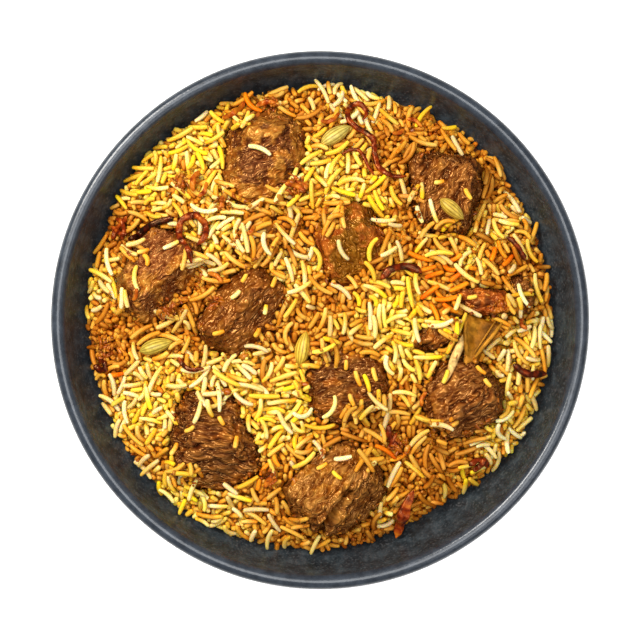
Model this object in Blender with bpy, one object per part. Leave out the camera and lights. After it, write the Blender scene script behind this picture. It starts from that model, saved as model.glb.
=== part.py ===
"""Mutton biryani in its shallow stoneware bowl.

The bowl is turned from one profile. The rice is one heap that lies in the bowl, and the mutton, the
shank bone and the cardamom pods are bedded in pockets of it. The fried onion strips lie on top.
Lengths are in millimetres here and become metres when a mesh is made. +Z is up, and the origin is
on the table under the middle of the bowl.
"""

import math

import bmesh
import bpy
from mathutils import Matrix, Vector, noise
from mathutils.bvhtree import BVHTree

MM = 0.001

# Bowl: a flat floor, then a quarter of an ellipse up to a rolled rim.
RIM_RADIUS = 130.0
BOWL_HEIGHT = 58.0
RIM_BEAD = 3.6
FLOOR_RADIUS = 52.0
FLOOR_TOP = 10.0
FLOOR_THICKNESS = 6.5
WALL_RISE = 48.0
WALL_RUN = 70.4
WALL_THICKNESS = 5.4
WALL_END_ANGLE = math.radians(83)
FOOT_OUTER = 60.0
FOOT_WIDTH = 6.0
FOOT_SOFTENING = 0.8
BOWL_SEGMENTS = 36
WALL_STEPS = 6

# Rice heap: where it meets the wall, how high its crown is, and how uneven it lies.
HEAP_EDGE_RADIUS = 117.0
HEAP_CROWN = 60.0
HEAP_FLATNESS = 2.6
HEAP_SHOULDER = 0.62
HEAP_RINGS = 8
HEAP_BOTTOM_RINGS = 3
EDGE_WANDER = 1.6
BUMP_HEIGHT = 1.5
BUMP_LENGTH = 19.0

# Clearances that keep touching pieces apart.
WALL_GAP = 0.5
POCKET_GAP = 0.35
RESTING_GAP = 0.4

# Mutton: middle of the piece, its length, width and height, and its turn about Z. "proud" is how far
# it stands out of the heap. "block" runs from 2, an ellipsoid, to 5, a cut cube. "taper" narrows the
# far end, and each facet is a cut face, as its azimuth, its elevation and the share that is kept.
CHUNKS = {
    "mutton_1": dict(at=(-28, 77), size=(38, 46, 31), turn=-12, proud=11, block=2.8, taper=0.10,
                     facets=[(-50, 50, 0.78), (150, 35, 0.86)]),
    "mutton_2": dict(at=(60, 61), size=(33, 40, 29), turn=-9, proud=11, block=4.2, taper=0.22,
                     facets=[(80, 84, 0.80), (8, 12, 0.84)]),
    "mutton_3": dict(at=(-77, 21), size=(35, 44, 32), turn=-32, proud=12, block=3.2, taper=0.05,
                     facets=[(-48, 38, 0.66), (130, 62, 0.84)]),
    "mutton_4": dict(at=(14, 36), size=(31, 39, 27), turn=8, proud=9, block=2.8, taper=0.20,
                     facets=[(-62, 52, 0.74), (120, 50, 0.88)]),
    "mutton_5": dict(at=(-37, 3), size=(45, 33, 31), turn=48, proud=11, block=3.2, taper=-0.05,
                     facets=[(-38, 42, 0.60), (140, 55, 0.88)]),
    "mutton_6": dict(at=(12, -32), size=(39, 36, 25), turn=-15, proud=6, block=3.0, taper=0.05,
                     facets=[(90, 80, 0.80), (-100, 50, 0.85)]),
    "mutton_7": dict(at=(-52, -58), size=(41, 50, 34), turn=12, proud=13, block=3.0, taper=-0.16,
                     facets=[(-88, 42, 0.70), (165, 45, 0.84), (20, 40, 0.82)]),
    "mutton_8": dict(at=(8, -82), size=(46, 38, 32), turn=38, proud=12, block=3.4, taper=0.06,
                     facets=[(-55, 42, 0.72), (140, 60, 0.86)]),
    "mutton_9": dict(at=(68, -37), size=(39, 37, 33), turn=30, proud=12, block=2.4, taper=-0.06,
                     facets=[(-60, 35, 0.86)]),
    "mutton_10": dict(at=(57, -7), size=(22, 13, 15), turn=34, proud=5, block=2.6, taper=0.15,
                      facets=[(-50, 45, 0.80)]),
    "mutton_11": dict(at=(-32, 38), size=(24, 17, 15), turn=24, proud=2.5, block=2.6, taper=0.0,
                      facets=[(90, 82, 0.82)]),
    "mutton_12": dict(at=(78, 9.5), size=(25, 12, 11), turn=-8, proud=6, block=2.6, taper=0.0,
                      facets=[]),
    "mutton_13": dict(at=(98, 13), size=(11, 18, 12), turn=8, proud=4, block=2.6, taper=0.1,
                      facets=[]),
}
# How finely a piece is divided, for pieces longer than the first number.
CUTS_BY_SIZE = ((30.0, 3), (16.0, 2), (0.0, 1))

# Knots of fried onion, lumps like the small pieces of mutton.
KNOTS = {
    "onion_knot_1": dict(at=(-97, 44.5), size=(12, 15, 9), turn=-25, proud=3, block=2.3, taper=0.1,
                         facets=[]),
    "onion_knot_2": dict(at=(-106.5, -23), size=(9, 8, 7), turn=30, proud=3, block=2.3, taper=0.0,
                         facets=[]),
    "onion_knot_3": dict(at=(77.5, -70), size=(11, 8, 7), turn=10, proud=3, block=2.3, taper=0.0,
                         facets=[]),
    "onion_knot_4": dict(at=(35, -56), size=(8, 12, 7), turn=-15, proud=3, block=2.3, taper=0.0,
                         facets=[]),
}
CHUNK_LUMPS = ((15.0, 1.3), (7.0, 0.6))

# Shank bone: a blade that leaves mutton_9 and fans out to mutton_12, as stations along it with the
# half width and half thickness at each.
BONE_START = (71.0, -24.0)
BONE_END = (79.0, 3.5)
BONE_STATIONS = ((0.0, 3.0, 2.6), (0.25, 4.0, 2.6), (0.5, 5.8, 2.7), (0.75, 8.0, 2.8), (1.0, 9.4, 2.6))
BONE_SIDES = 12
BONE_PROUD = 5.0

# Cardamom pods: three-sided spindles, each with its middle, its turn and the node that it rests on.
POD_LENGTH = 16.5
POD_WIDTH = 8.4
POD_SIDES = 9
POD_RINGS = 6
PODS = {
    "cardamom_1": dict(at=(7.5, 89.0), turn=32, rests_on="rice_heap"),
    "cardamom_2": dict(at=(62.6, 52.5), turn=-41, rests_on="mutton_2"),
    "cardamom_3": dict(at=(-7.9, -13.7), turn=79, rests_on="rice_heap"),
    "cardamom_4": dict(at=(-79.0, -13.0), turn=17, rests_on="rice_heap"),
}
POD_SUNK = 0.36

# Fried onion strips: the route of each over the food in plan, and its half thickness at the middle.
ONIONS = {
    "onion_curl": dict(half=1.25, route=[
        (20.8, 96.6), (22.6, 100.8), (20.2, 104.2), (16.6, 104.8), (13.6, 101.4), (14.2, 96.6),
        (18.0, 92.8), (22.8, 90.2), (26.0, 86.3), (26.4, 80.9), (27.5, 75.5), (30.6, 71.4),
        (35.7, 69.0), (41.4, 69.4)]),
    "onion_thread": dict(half=0.8, route=[
        (10.8, 79.6), (14.2, 82.4), (18.4, 81.6), (21.4, 78.0), (23.4, 73.6), (26.2, 69.6)]),
    "onion_loop": dict(half=1.45, route=[
        (-58.8, 35.4), (-55.6, 39.6), (-54.6, 44.2), (-57.2, 48.6), (-61.6, 50.2), (-65.8, 48.2),
        (-67.8, 43.9), (-66.8, 39.2), (-63.4, 35.4), (-61.8, 31.4), (-60.8, 27.0)]),
    "onion_char": dict(half=1.3, route=[
        (-92.0, 38.6), (-88.4, 40.2), (-84.8, 43.9), (-79.6, 46.4), (-74.6, 48.0), (-70.6, 48.6)]),
    "onion_ribbon": dict(half=1.7, route=[
        (29.4, 19.6), (32.6, 23.4), (38.6, 25.4), (44.4, 25.0), (48.7, 22.8)]),
    "onion_husk": dict(half=1.6, route=[
        (46.9, -83.4), (44.8, -89.2), (42.6, -96.4), (40.4, -102.4), (38.6, -106.8)]),
    "onion_twist": dict(half=1.7, route=[
        (93.6, -21.4), (97.2, -24.0), (101.4, -26.2), (106.2, -26.0), (110.6, -26.6)]),
    "onion_hook": dict(half=0.9, route=[
        (-67.6, -17.8), (-66.4, -21.2), (-62.8, -23.4), (-59.0, -23.8), (-55.6, -23.2)]),
    "onion_sliver": dict(half=1.2, route=[
        (90.8, 40.2), (94.2, 37.4), (97.4, 33.4), (99.4, 28.8)]),
}
ONION_STEP = 3.3
ONION_TIP = 0.45
ONION_SMOOTHING = 2

COLOURS = {
    "stoneware": ((0.035, 0.038, 0.043), 0.45),
    "rice": ((0.72, 0.42, 0.08), 0.5),
    "mutton": ((0.19, 0.07, 0.022), 0.45),
    "bone": ((0.55, 0.33, 0.12), 0.4),
    "cardamom": ((0.50, 0.42, 0.10), 0.55),
    "onion": ((0.10, 0.018, 0.008), 0.3),
}


def clear_scene():
    for obj in list(bpy.data.objects):
        bpy.data.objects.remove(obj)


def material(name):
    """The piece's own Principled material, made on first use."""
    found = bpy.data.materials.get(name)
    if found:
        return found
    colour, roughness = COLOURS[name]
    made = bpy.data.materials.new(name)
    made.use_nodes = True
    shader = made.node_tree.nodes["Principled BSDF"]
    shader.inputs["Base Color"].default_value = (*colour, 1.0)
    shader.inputs["Roughness"].default_value = roughness
    shader.inputs["Metallic"].default_value = 0.0
    return made


def make_object(name, bm, finish, location=(0, 0, 0)):
    """An object from a bmesh in millimetres, cut into triangles and shaded smooth."""
    bmesh.ops.scale(bm, vec=(MM, MM, MM), verts=bm.verts)
    bmesh.ops.triangulate(bm, faces=bm.faces)
    bmesh.ops.recalc_face_normals(bm, faces=bm.faces)
    mesh = bpy.data.meshes.new(name)
    bm.to_mesh(mesh)
    bm.free()
    mesh.shade_smooth()
    mesh.materials.append(material(finish))
    obj = bpy.data.objects.new(name, mesh)
    obj.location = Vector(location) * MM
    bpy.context.scene.collection.objects.link(obj)
    return obj


def arc(centre, radius, start, end, steps):
    """Points on an arc in the (radius, height) plane, angles in degrees."""
    turned = [math.radians(start + (end - start) * i / steps) for i in range(steps + 1)]
    return [(centre[0] + radius * math.cos(a), centre[1] + radius * math.sin(a)) for a in turned]


def wall_point(angle, offset=0.0):
    """A point of the bowl's inner wall, moved out through the wall by offset."""
    r = FLOOR_RADIUS + WALL_RUN * math.sin(angle)
    z = FLOOR_TOP + WALL_RISE * (1 - math.cos(angle))
    out = Vector((WALL_RISE * math.sin(angle), -WALL_RUN * math.cos(angle))).normalized()
    return r + out.x * offset, z + out.y * offset


def bowl_profile():
    """The turned outline, from the axis underneath, round the rim and back to the axis inside."""
    recess = FLOOR_TOP - FLOOR_THICKNESS
    foot_inner = FOOT_OUTER - FOOT_WIDTH
    points = [(0.0, recess), (foot_inner - recess * 0.4, recess), (foot_inner, FOOT_SOFTENING)]
    points += [(foot_inner + FOOT_SOFTENING, 0.0), (FOOT_OUTER - FOOT_SOFTENING, 0.0)]
    points += [(FOOT_OUTER, FOOT_SOFTENING), (FOOT_OUTER + 0.8, recess + 0.2)]
    first = 0.24
    for i in range(WALL_STEPS + 1):
        angle = first + (WALL_END_ANGLE - first) * i / WALL_STEPS
        points.append(wall_point(angle, WALL_THICKNESS))
    bead = (RIM_RADIUS - RIM_BEAD, BOWL_HEIGHT - RIM_BEAD)
    points += arc(bead, RIM_BEAD, -35, 205, 8)
    for i in range(WALL_STEPS + 2):
        points.append(wall_point(WALL_END_ANGLE * (1 - i / (WALL_STEPS + 1))))
    points.append((0.0, FLOOR_TOP))
    return points


def make_bowl():
    bm = bmesh.new()
    verts = [bm.verts.new((r, 0.0, z)) for r, z in bowl_profile()]
    edges = [bm.edges.new(pair) for pair in zip(verts, verts[1:])]
    bmesh.ops.spin(bm, geom=verts + edges, cent=(0, 0, 0), axis=(0, 0, 1), angle=math.tau,
                   steps=BOWL_SEGMENTS, use_merge=True)
    bmesh.ops.remove_doubles(bm, verts=bm.verts, dist=1e-4)
    obj = make_object("bowl", bm, "stoneware")
    obj.data.set_sharp_from_angle(angle=math.radians(50))
    return obj


def bowl_inside_height(radius):
    """Height of the bowl's inner face at this radius."""
    run = max(0.0, radius - FLOOR_RADIUS) / WALL_RUN
    return FLOOR_TOP + WALL_RISE * (1 - math.sqrt(max(0.0, 1 - run * run)))


def heap_edge(angle):
    """Radius at which the heap meets the wall, which wanders as the rice fell."""
    place = Vector((2.4 * math.cos(angle), 2.4 * math.sin(angle), 5.0))
    return HEAP_EDGE_RADIUS + EDGE_WANDER * noise.noise(place)


def heap_height(x, y):
    """Height of the rice at (x, y): a flat dome with a steep shoulder, and low bumps."""
    radius = math.hypot(x, y)
    edge = heap_edge(math.atan2(y, x))
    share = min(1.0, radius / edge)
    low = bowl_inside_height(edge)
    dome = (1 - share ** HEAP_FLATNESS) ** HEAP_SHOULDER
    bump = noise.noise(Vector((x, y, 0)) / BUMP_LENGTH)
    bump += 0.5 * noise.noise(Vector((x, y, 40)) / (BUMP_LENGTH / 2))
    return low + (HEAP_CROWN - low) * dome + BUMP_HEIGHT * bump * min(1.0, dome * 2.5)


def ring_of(bm, radius_at, height_at):
    """One ring of points about Z, one for each segment of the bowl."""
    made = []
    for i in range(BOWL_SEGMENTS):
        angle = math.tau * i / BOWL_SEGMENTS
        r = radius_at(angle)
        x, y = r * math.cos(angle), r * math.sin(angle)
        made.append(bm.verts.new((x, y, height_at(x, y))))
    return made


def make_heap():
    """The rice: an upper skin that follows heap_height and a lower one that lies on the bowl."""
    bm = bmesh.new()
    top = bm.verts.new((0, 0, heap_height(0, 0)))
    rings = []
    for i in range(1, HEAP_RINGS + 1):
        share = math.sin(math.pi / 2 * i / HEAP_RINGS) ** 0.9
        rings.append(ring_of(bm, lambda a, s=share: (heap_edge(a) - WALL_GAP) * s, heap_height))
    for i in range(1, HEAP_BOTTOM_RINGS + 1):
        fall = 1 - i / HEAP_BOTTOM_RINGS
        low = FLOOR_RADIUS + (HEAP_EDGE_RADIUS - FLOOR_RADIUS) * fall - WALL_GAP * 2
        rings.append(ring_of(bm, lambda a, r=low: r,
                             lambda x, y: bowl_inside_height(math.hypot(x, y)) + WALL_GAP * 1.6))
    bottom = bm.verts.new((0, 0, FLOOR_TOP + WALL_GAP))
    for first, second in zip(rings, rings[1:]):
        bmesh.ops.bridge_loops(bm, edges=loop_edges(bm, first) + loop_edges(bm, second))
    for pole, ring in ((top, rings[0]), (bottom, rings[-1])):
        for a, b in zip(ring, ring[1:] + ring[:1]):
            bm.faces.new((pole, a, b))
    return make_object("rice_heap", bm, "rice")


def loop_edges(bm, ring):
    """The edges round a ring of points, made where they are missing."""
    found = []
    for a, b in zip(ring, ring[1:] + ring[:1]):
        found.append(bm.edges.get((a, b)) or bm.edges.new((a, b)))
    return found


def direction(azimuth, elevation):
    a, e = math.radians(azimuth), math.radians(elevation)
    return Vector((math.cos(a) * math.cos(e), math.sin(a) * math.cos(e), math.sin(e)))


def make_chunk(name, spec, finish):
    """A cooked piece or an onion knot: a rounded block, tapered, cut by faces and then lumpy."""
    bm = bmesh.new()
    bmesh.ops.create_cube(bm, size=2)
    cuts = next(count for least, count in CUTS_BY_SIZE if max(spec["size"]) > least)
    bmesh.ops.subdivide_edges(bm, edges=bm.edges, cuts=cuts, use_grid_fill=True)
    half = Vector(spec["size"]) / 2
    power = spec["block"]
    for v in bm.verts:
        u = Vector([math.tan(c * math.pi / 4) for c in v.co]).normalized()
        reach = sum(abs(c) ** power for c in u) ** (-1 / power)
        p = Vector([c * reach * h for c, h in zip(u, half)])
        p.x *= 1 + spec["taper"] * p.y / half.y
        v.co = p
    bmesh.ops.rotate(bm, cent=(0, 0, 0), verts=bm.verts,
                     matrix=Matrix.Rotation(math.radians(spec["turn"]), 3, "Z"))
    for azimuth, elevation, kept in spec["facets"]:
        out = direction(azimuth, elevation)
        limit = kept * max(v.co.dot(out) for v in bm.verts)
        for v in bm.verts:
            beyond = v.co.dot(out) - limit
            if beyond > 0:
                v.co -= out * beyond * 0.92
    x, y = spec["at"]
    bm.normal_update()
    for v in bm.verts:
        moved = 0.0
        for length, depth in CHUNK_LUMPS:
            moved += depth * noise.noise((v.co + Vector((x, y, 0))) / length)
        v.co += v.normal * moved
    top = max(v.co.z for v in bm.verts)
    z = heap_height(x, y) + spec["proud"] - top
    return make_object(name, bm, finish, (x, y, z))


def make_bone(meats):
    """The shank bone: a flattened tube that widens to its end, cut clear of the meat on it."""
    bm = bmesh.new()
    start, end = Vector(BONE_START), Vector(BONE_END)
    along = (end - start).normalized()
    side = Vector((-along.y, along.x))
    rings = []
    for share, wide, thick in BONE_STATIONS:
        middle = start.lerp(end, share)
        z = heap_height(*end) + BONE_PROUD - thick + 2.0 * (1 - share)
        ring = []
        for i in range(BONE_SIDES):
            a = math.tau * i / BONE_SIDES
            flat = middle + side * wide * math.cos(a)
            ring.append(bm.verts.new((flat.x, flat.y, z + thick * math.sin(a))))
        rings.append(ring)
    for first, second in zip(rings, rings[1:]):
        bmesh.ops.bridge_loops(bm, edges=loop_edges(bm, first) + loop_edges(bm, second))
    bm.faces.new(rings[0])
    bm.faces.new(rings[-1])
    bone = make_object("shank_bone", bm, "bone")
    for meat in meats:
        cut_away(bone, cutter_for(meat))
    return bone


def make_pod(name, spec, support):
    """A cardamom pod: a spindle of rounded three-sided section with a beak, laid on its support."""
    bm = bmesh.new()
    rings = []
    for i in range(1, POD_RINGS):
        share = i / POD_RINGS
        x = (share - 0.5) * POD_LENGTH
        half = POD_WIDTH / 2 * math.sin(math.pi * share) ** 0.72
        ring = []
        for k in range(POD_SIDES):
            a = math.tau * k / POD_SIDES
            r = half * (1 + 0.07 * math.cos(3 * a))
            ring.append(bm.verts.new((x, r * math.cos(a), r * math.sin(a))))
        rings.append(ring)
    for first, second in zip(rings, rings[1:]):
        bmesh.ops.bridge_loops(bm, edges=loop_edges(bm, first) + loop_edges(bm, second))
    for ring, x in ((rings[0], -POD_LENGTH / 2), (rings[-1], POD_LENGTH / 2)):
        pole = bm.verts.new((x, 0, 0))
        for a, b in zip(ring, ring[1:] + ring[:1]):
            bm.faces.new((pole, a, b))
    x, y = spec["at"]
    half = POD_WIDTH / 2
    if spec["rests_on"] == "rice_heap":
        z, pitch = heap_height(x, y) + half * (1 - 2 * POD_SUNK), 0.0
    else:
        z, pitch = bedded(support, x, y, spec["turn"])
    pod = make_object(name, bm, "cardamom", (x, y, z))
    pod.rotation_euler = (0, -pitch, math.radians(spec["turn"]))
    return pod


def bedded(support, x, y, turn):
    """Height and pitch at which a pod lies on a support, touching it along its length."""
    along = Vector((math.cos(math.radians(turn)), math.sin(math.radians(turn))))
    reach = POD_LENGTH * 0.35
    ends = [Vector((x, y)) + along * reach * s for s in (-1, 0, 1)]
    heights = [surface_height(support, p.x, p.y, POD_WIDTH / 4) for p in ends]
    pitch = math.atan2(heights[2] - heights[0], 2 * reach)
    middle = max(heights[1], (heights[0] + heights[2]) / 2)
    return middle + POD_WIDTH / 2 * 1.07 + RESTING_GAP, pitch


def surface_height(tree, x, y, around=0.0):
    """The highest point of a surface within a short distance of (x, y)."""
    found = []
    for i in range(9):
        a = math.tau * i / 8
        r = 0.0 if i == 8 else around
        start = Vector((x + r * math.cos(a), y + r * math.sin(a), 200.0)) * MM
        hit = tree.ray_cast(start, Vector((0, 0, -1)))[0]
        if hit:
            found.append(hit.z / MM)
    return max(found) if found else 0.0


def world_tree(objects):
    """A search tree of the objects' evaluated meshes in world space."""
    bpy.context.view_layer.update()
    graph = bpy.context.evaluated_depsgraph_get()
    points, faces = [], []
    for obj in objects:
        evaluated = obj.evaluated_get(graph)
        mesh = evaluated.to_mesh()
        start = len(points)
        points += [evaluated.matrix_world @ v.co for v in mesh.vertices]
        faces += [[start + i for i in face.vertices] for face in mesh.polygons]
        evaluated.to_mesh_clear()
    return BVHTree.FromPolygons(points, faces)


def cutter_for(obj):
    """A hidden copy of a piece, grown by the pocket gap along its normals."""
    mesh = obj.data.copy()
    normals = [v.normal.copy() for v in mesh.vertices]
    for v, out in zip(mesh.vertices, normals):
        v.co += out * POCKET_GAP * MM
    cutter = bpy.data.objects.new(obj.name + "_cutter", mesh)
    cutter.matrix_world = obj.matrix_basis
    cutter.hide_render = True
    cutter.display_type = "WIRE"
    bpy.context.scene.collection.objects.link(cutter)
    return cutter


def cut_away(obj, cutter):
    cut = obj.modifiers.new(cutter.name, "BOOLEAN")
    cut.operation = "DIFFERENCE"
    cut.object = cutter


def smooth_route(points, step):
    """Points a step apart along a Catmull-Rom curve through the given ones."""
    padded = [points[0]] + points + [points[-1]]
    fine = []
    for p0, p1, p2, p3 in zip(padded, padded[1:], padded[2:], padded[3:]):
        count = max(2, round((p2 - p1).length / step))
        for i in range(count):
            t = i / count
            fine.append(0.5 * (2 * p1 + (p2 - p0) * t + (2 * p0 - 5 * p1 + 4 * p2 - p3) * t * t
                               + (3 * p1 - p0 - 3 * p2 + p3) * t ** 3))
    return fine + [points[-1]]


def make_onion(name, spec, tree):
    """A fried onion strip: a tube tapered at both ends that lies over whatever is under it."""
    half = spec["half"]
    plan = smooth_route([Vector(p) for p in spec["route"]], ONION_STEP)
    lift = half + RESTING_GAP
    least = [surface_height(tree, p.x, p.y, half) + lift for p in plan]
    heights = list(least)
    for _ in range(ONION_SMOOTHING):
        ends = [heights[0]] + heights + [heights[-1]]
        eased = [(a + 2 * b + c) / 4 for a, b, c in zip(ends, ends[1:], ends[2:])]
        heights = [max(a, b) for a, b in zip(eased, least)]
    curve = bpy.data.curves.new(name, "CURVE")
    curve.dimensions = "3D"
    curve.bevel_depth = half * MM
    curve.bevel_resolution = 1
    curve.use_fill_caps = True
    curve.materials.append(material("onion"))
    line = curve.splines.new("POLY")
    line.points.add(len(plan) - 1)
    for i, (point, p, z) in enumerate(zip(line.points, plan, heights)):
        point.co = (p.x * MM, p.y * MM, z * MM, 1.0)
        share = min(i, len(plan) - 1 - i) / 3
        point.radius = min(1.0, ONION_TIP + (1 - ONION_TIP) * share)
    obj = bpy.data.objects.new(name, curve)
    bpy.context.scene.collection.objects.link(obj)
    return obj


def main():
    clear_scene()
    make_bowl()
    heap = make_heap()
    chunks = {name: make_chunk(name, spec, "mutton") for name, spec in CHUNKS.items()}
    knots = [make_chunk(name, spec, "onion") for name, spec in KNOTS.items()]
    bone = make_bone([chunks["mutton_9"], chunks["mutton_12"]])
    pods = []
    for name, spec in PODS.items():
        on_meat = spec["rests_on"] in chunks
        support = world_tree([chunks[spec["rests_on"]]]) if on_meat else None
        pod = make_pod(name, spec, support)
        pods.append(pod)
        if not on_meat:
            cut_away(heap, cutter_for(pod))
    for piece in [*chunks.values(), *knots, bone]:
        cut_away(heap, cutter_for(piece))
    tree = world_tree([heap, bone, *chunks.values(), *knots, *pods])
    for name, spec in ONIONS.items():
        make_onion(name, spec, tree)


main()
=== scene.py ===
import itertools
import math

import bmesh
import bpy
import numpy as np
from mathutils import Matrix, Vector
from mathutils.bvhtree import BVHTree


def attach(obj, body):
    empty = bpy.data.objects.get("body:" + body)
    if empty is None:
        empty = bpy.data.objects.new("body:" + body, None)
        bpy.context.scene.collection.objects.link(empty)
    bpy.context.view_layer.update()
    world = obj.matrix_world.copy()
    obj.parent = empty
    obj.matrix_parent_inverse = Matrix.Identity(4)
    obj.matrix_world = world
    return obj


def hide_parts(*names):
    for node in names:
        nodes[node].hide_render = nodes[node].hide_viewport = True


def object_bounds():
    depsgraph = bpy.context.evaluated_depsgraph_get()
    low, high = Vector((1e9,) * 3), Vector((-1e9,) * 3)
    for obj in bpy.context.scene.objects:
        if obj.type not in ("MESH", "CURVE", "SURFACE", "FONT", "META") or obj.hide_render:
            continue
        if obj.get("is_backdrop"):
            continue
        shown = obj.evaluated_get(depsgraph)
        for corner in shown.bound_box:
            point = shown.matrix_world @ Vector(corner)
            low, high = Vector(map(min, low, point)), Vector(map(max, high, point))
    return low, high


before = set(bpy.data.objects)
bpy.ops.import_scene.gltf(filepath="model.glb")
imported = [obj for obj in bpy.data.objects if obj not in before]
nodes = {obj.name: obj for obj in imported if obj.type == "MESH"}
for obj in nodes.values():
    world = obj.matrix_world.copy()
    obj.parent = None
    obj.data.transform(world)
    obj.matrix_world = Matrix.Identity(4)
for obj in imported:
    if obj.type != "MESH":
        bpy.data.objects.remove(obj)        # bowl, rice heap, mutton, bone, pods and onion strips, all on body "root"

cadBox = [list(corner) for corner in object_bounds()]
mm = 0.001
rng = np.random.default_rng(7)


# ---- small helpers

def linear(hexColour):
    values = [int(hexColour[i:i + 2], 16) / 255 for i in (1, 3, 5)]
    return tuple(v / 12.92 if v <= 0.04045 else ((v + 0.055) / 1.055) ** 2.4 for v in values) + (1.0,)


def addNode(tree, kind, inputs=None, **settings):
    node = tree.nodes.new(kind)
    for name, value in settings.items():
        setattr(node, name, value)
    for name, value in (inputs or {}).items():
        if isinstance(value, bpy.types.NodeSocket):
            tree.links.new(value, node.inputs[name])
        else:
            node.inputs[name].default_value = value
    return node


def newMaterial(name):
    made = bpy.data.materials.new(name)
    made.use_nodes = True
    made.node_tree.nodes.clear()
    shader = addNode(made.node_tree, "ShaderNodeBsdfPrincipled")
    addNode(made.node_tree, "ShaderNodeOutputMaterial", {"Surface": shader.outputs[0]})
    return made, made.node_tree, shader


def ramp(tree, factor, stops):
    node = addNode(tree, "ShaderNodeValToRGB", {"Fac": factor})
    elements = node.color_ramp.elements
    while len(elements) < len(stops):
        elements.new(0.5)
    for element, (place, colour) in zip(elements, stops):
        element.position = place
        element.color = linear(colour) if isinstance(colour, str) else (colour, colour, colour, 1.0)
    return node.outputs["Color"]


def blend(tree, factor, first, second, kind="MIX"):
    node = addNode(tree, "ShaderNodeMix", data_type="RGBA", blend_type=kind)
    for index, value in ((0, factor), (6, first), (7, second)):
        if isinstance(value, bpy.types.NodeSocket):
            tree.links.new(value, node.inputs[index])
        else:
            node.inputs[index].default_value = value
    return node.outputs[2]


# gradient noise on an array of points, between about -0.7 and 0.7
noiseTable = np.random.default_rng(3).permutation(256)
noiseSlopes = np.array([(1, 1, 0), (-1, 1, 0), (1, -1, 0), (-1, -1, 0), (1, 0, 1), (-1, 0, 1), (1, 0, -1),
                        (-1, 0, -1), (0, 1, 1), (0, -1, 1), (0, 1, -1), (0, -1, -1), (1, 1, 0), (-1, 1, 0),
                        (0, -1, 1), (0, -1, -1)], float)


def noiseAt(points, size, shift=0.0):
    p = np.asarray(points, float) / size + shift * 17.31
    cell = np.floor(p).astype(int)
    part = p - cell
    fade = part ** 3 * (part * (part * 6 - 15) + 10)
    total = np.zeros(p.shape[:-1])
    for corner in itertools.product((0, 1), repeat=3):
        c = cell + corner
        key = noiseTable[(noiseTable[(noiseTable[c[..., 0] & 255] + c[..., 1]) & 255] + c[..., 2]) & 255]
        weight = np.prod(np.where(np.array(corner) == 1, fade, 1 - fade), axis=-1)
        total += weight * ((part - corner) * noiseSlopes[key & 15]).sum(-1)
    return total


def smoothStep(low, high, value):
    t = np.clip((value - low) / (high - low), 0, 1)
    return t * t * (3 - 2 * t)


def meshFrom(name, points, faces, material, smooth=True):
    mesh = bpy.data.meshes.new(name)
    mesh.from_pydata([tuple(p) for p in np.asarray(points) * mm], [], [tuple(f) for f in faces])
    mesh.materials.append(material)
    if smooth:
        mesh.shade_smooth()
    piece = bpy.data.objects.new(name, mesh)
    bpy.context.scene.collection.objects.link(piece)
    return piece


def pointsOf(mesh):
    flat = np.empty(len(mesh.vertices) * 3)
    mesh.vertices.foreach_get("co", flat)
    return flat.reshape(-1, 3) / mm


def movePoints(mesh, points):
    mesh.vertices.foreach_set("co", (points * mm).ravel())
    mesh.update()


def storeValues(mesh, name, values):
    values = np.asarray(values, float)
    kind = {1: "FLOAT", 2: "FLOAT_VECTOR"}[values.ndim]
    if values.ndim == 2 and values.shape[1] == 4:
        kind = "FLOAT_COLOR"
    attribute = mesh.attributes.new(name, kind, "POINT")
    attribute.data.foreach_set({"FLOAT": "value", "FLOAT_VECTOR": "vector", "FLOAT_COLOR": "color"}[kind],
                               values.ravel())


def closeUp(piece):    # doubles merged, faces outwards
    bm = bmesh.new()
    bm.from_mesh(piece.data)
    bmesh.ops.remove_doubles(bm, verts=bm.verts, dist=1e-6)
    bmesh.ops.recalc_face_normals(bm, faces=bm.faces)
    bm.to_mesh(piece.data)
    bm.free()
    return piece


def settled(piece, name):    # the evaluated result as a plain mesh, in place of the piece with its modifiers
    bpy.context.view_layer.update()
    graph = bpy.context.evaluated_depsgraph_get()
    mesh = bpy.data.meshes.new_from_object(piece.evaluated_get(graph))
    bpy.data.objects.remove(piece)
    mesh.name = name
    made = bpy.data.objects.new(name, mesh)
    bpy.context.scene.collection.objects.link(made)
    return made


def finishPiece(piece, slotName, *standsFor):
    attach(piece, "root")
    if standsFor:
        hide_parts(*standsFor)
    return piece


def groupInput(tree, name, kind, value=None):
    socket = tree.interface.new_socket(name, in_out="INPUT", socket_type=kind)
    if value is not None:
        socket.default_value = value
    return socket.identifier


# ---- camera, light and floor

view = dict(height=820, lens=95.9, lookAt=58)    # millimetres: a long lens straight over the middle of the dish
lamps = {    # place in mm, size in mm, watts, colour
    "windowKey": ((-560, 480, 880), 480, 10.6, "#FFFBF5"),
    "roomFill": ((560, -420, 900), 700, 2.6, "#FAFAFF"),
    "ceiling": ((0, 120, 1500), 900, 10.3, "#FFFFFF"),
}

camera = bpy.data.objects.new("overheadCamera", bpy.data.cameras.new("overheadCamera"))
camera.data.lens = view["lens"]
camera.location = (0, 0, (view["lookAt"] + view["height"]) * mm)
bpy.context.scene.collection.objects.link(camera)
bpy.context.scene.camera = camera
for name, (place, size, watts, colour) in lamps.items():
    lamp = bpy.data.lights.new(name, "AREA")
    lamp.shape = "DISK"
    lamp.size = size * mm
    lamp.energy = watts
    lamp.color = linear(colour)[:3]
    holder = bpy.data.objects.new(name, lamp)
    holder.location = Vector(place) * mm
    holder.rotation_euler = (Vector((0, 0, 50)) - Vector(place)).to_track_quat("-Z", "Y").to_euler()
    bpy.context.scene.collection.objects.link(holder)
world = bpy.data.worlds.new("studioAir")
world.use_nodes = True
world.node_tree.nodes["Background"].inputs["Color"].default_value = linear("#F8F8F8")
world.node_tree.nodes["Background"].inputs["Strength"].default_value = 0.3
bpy.context.scene.world = world
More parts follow.
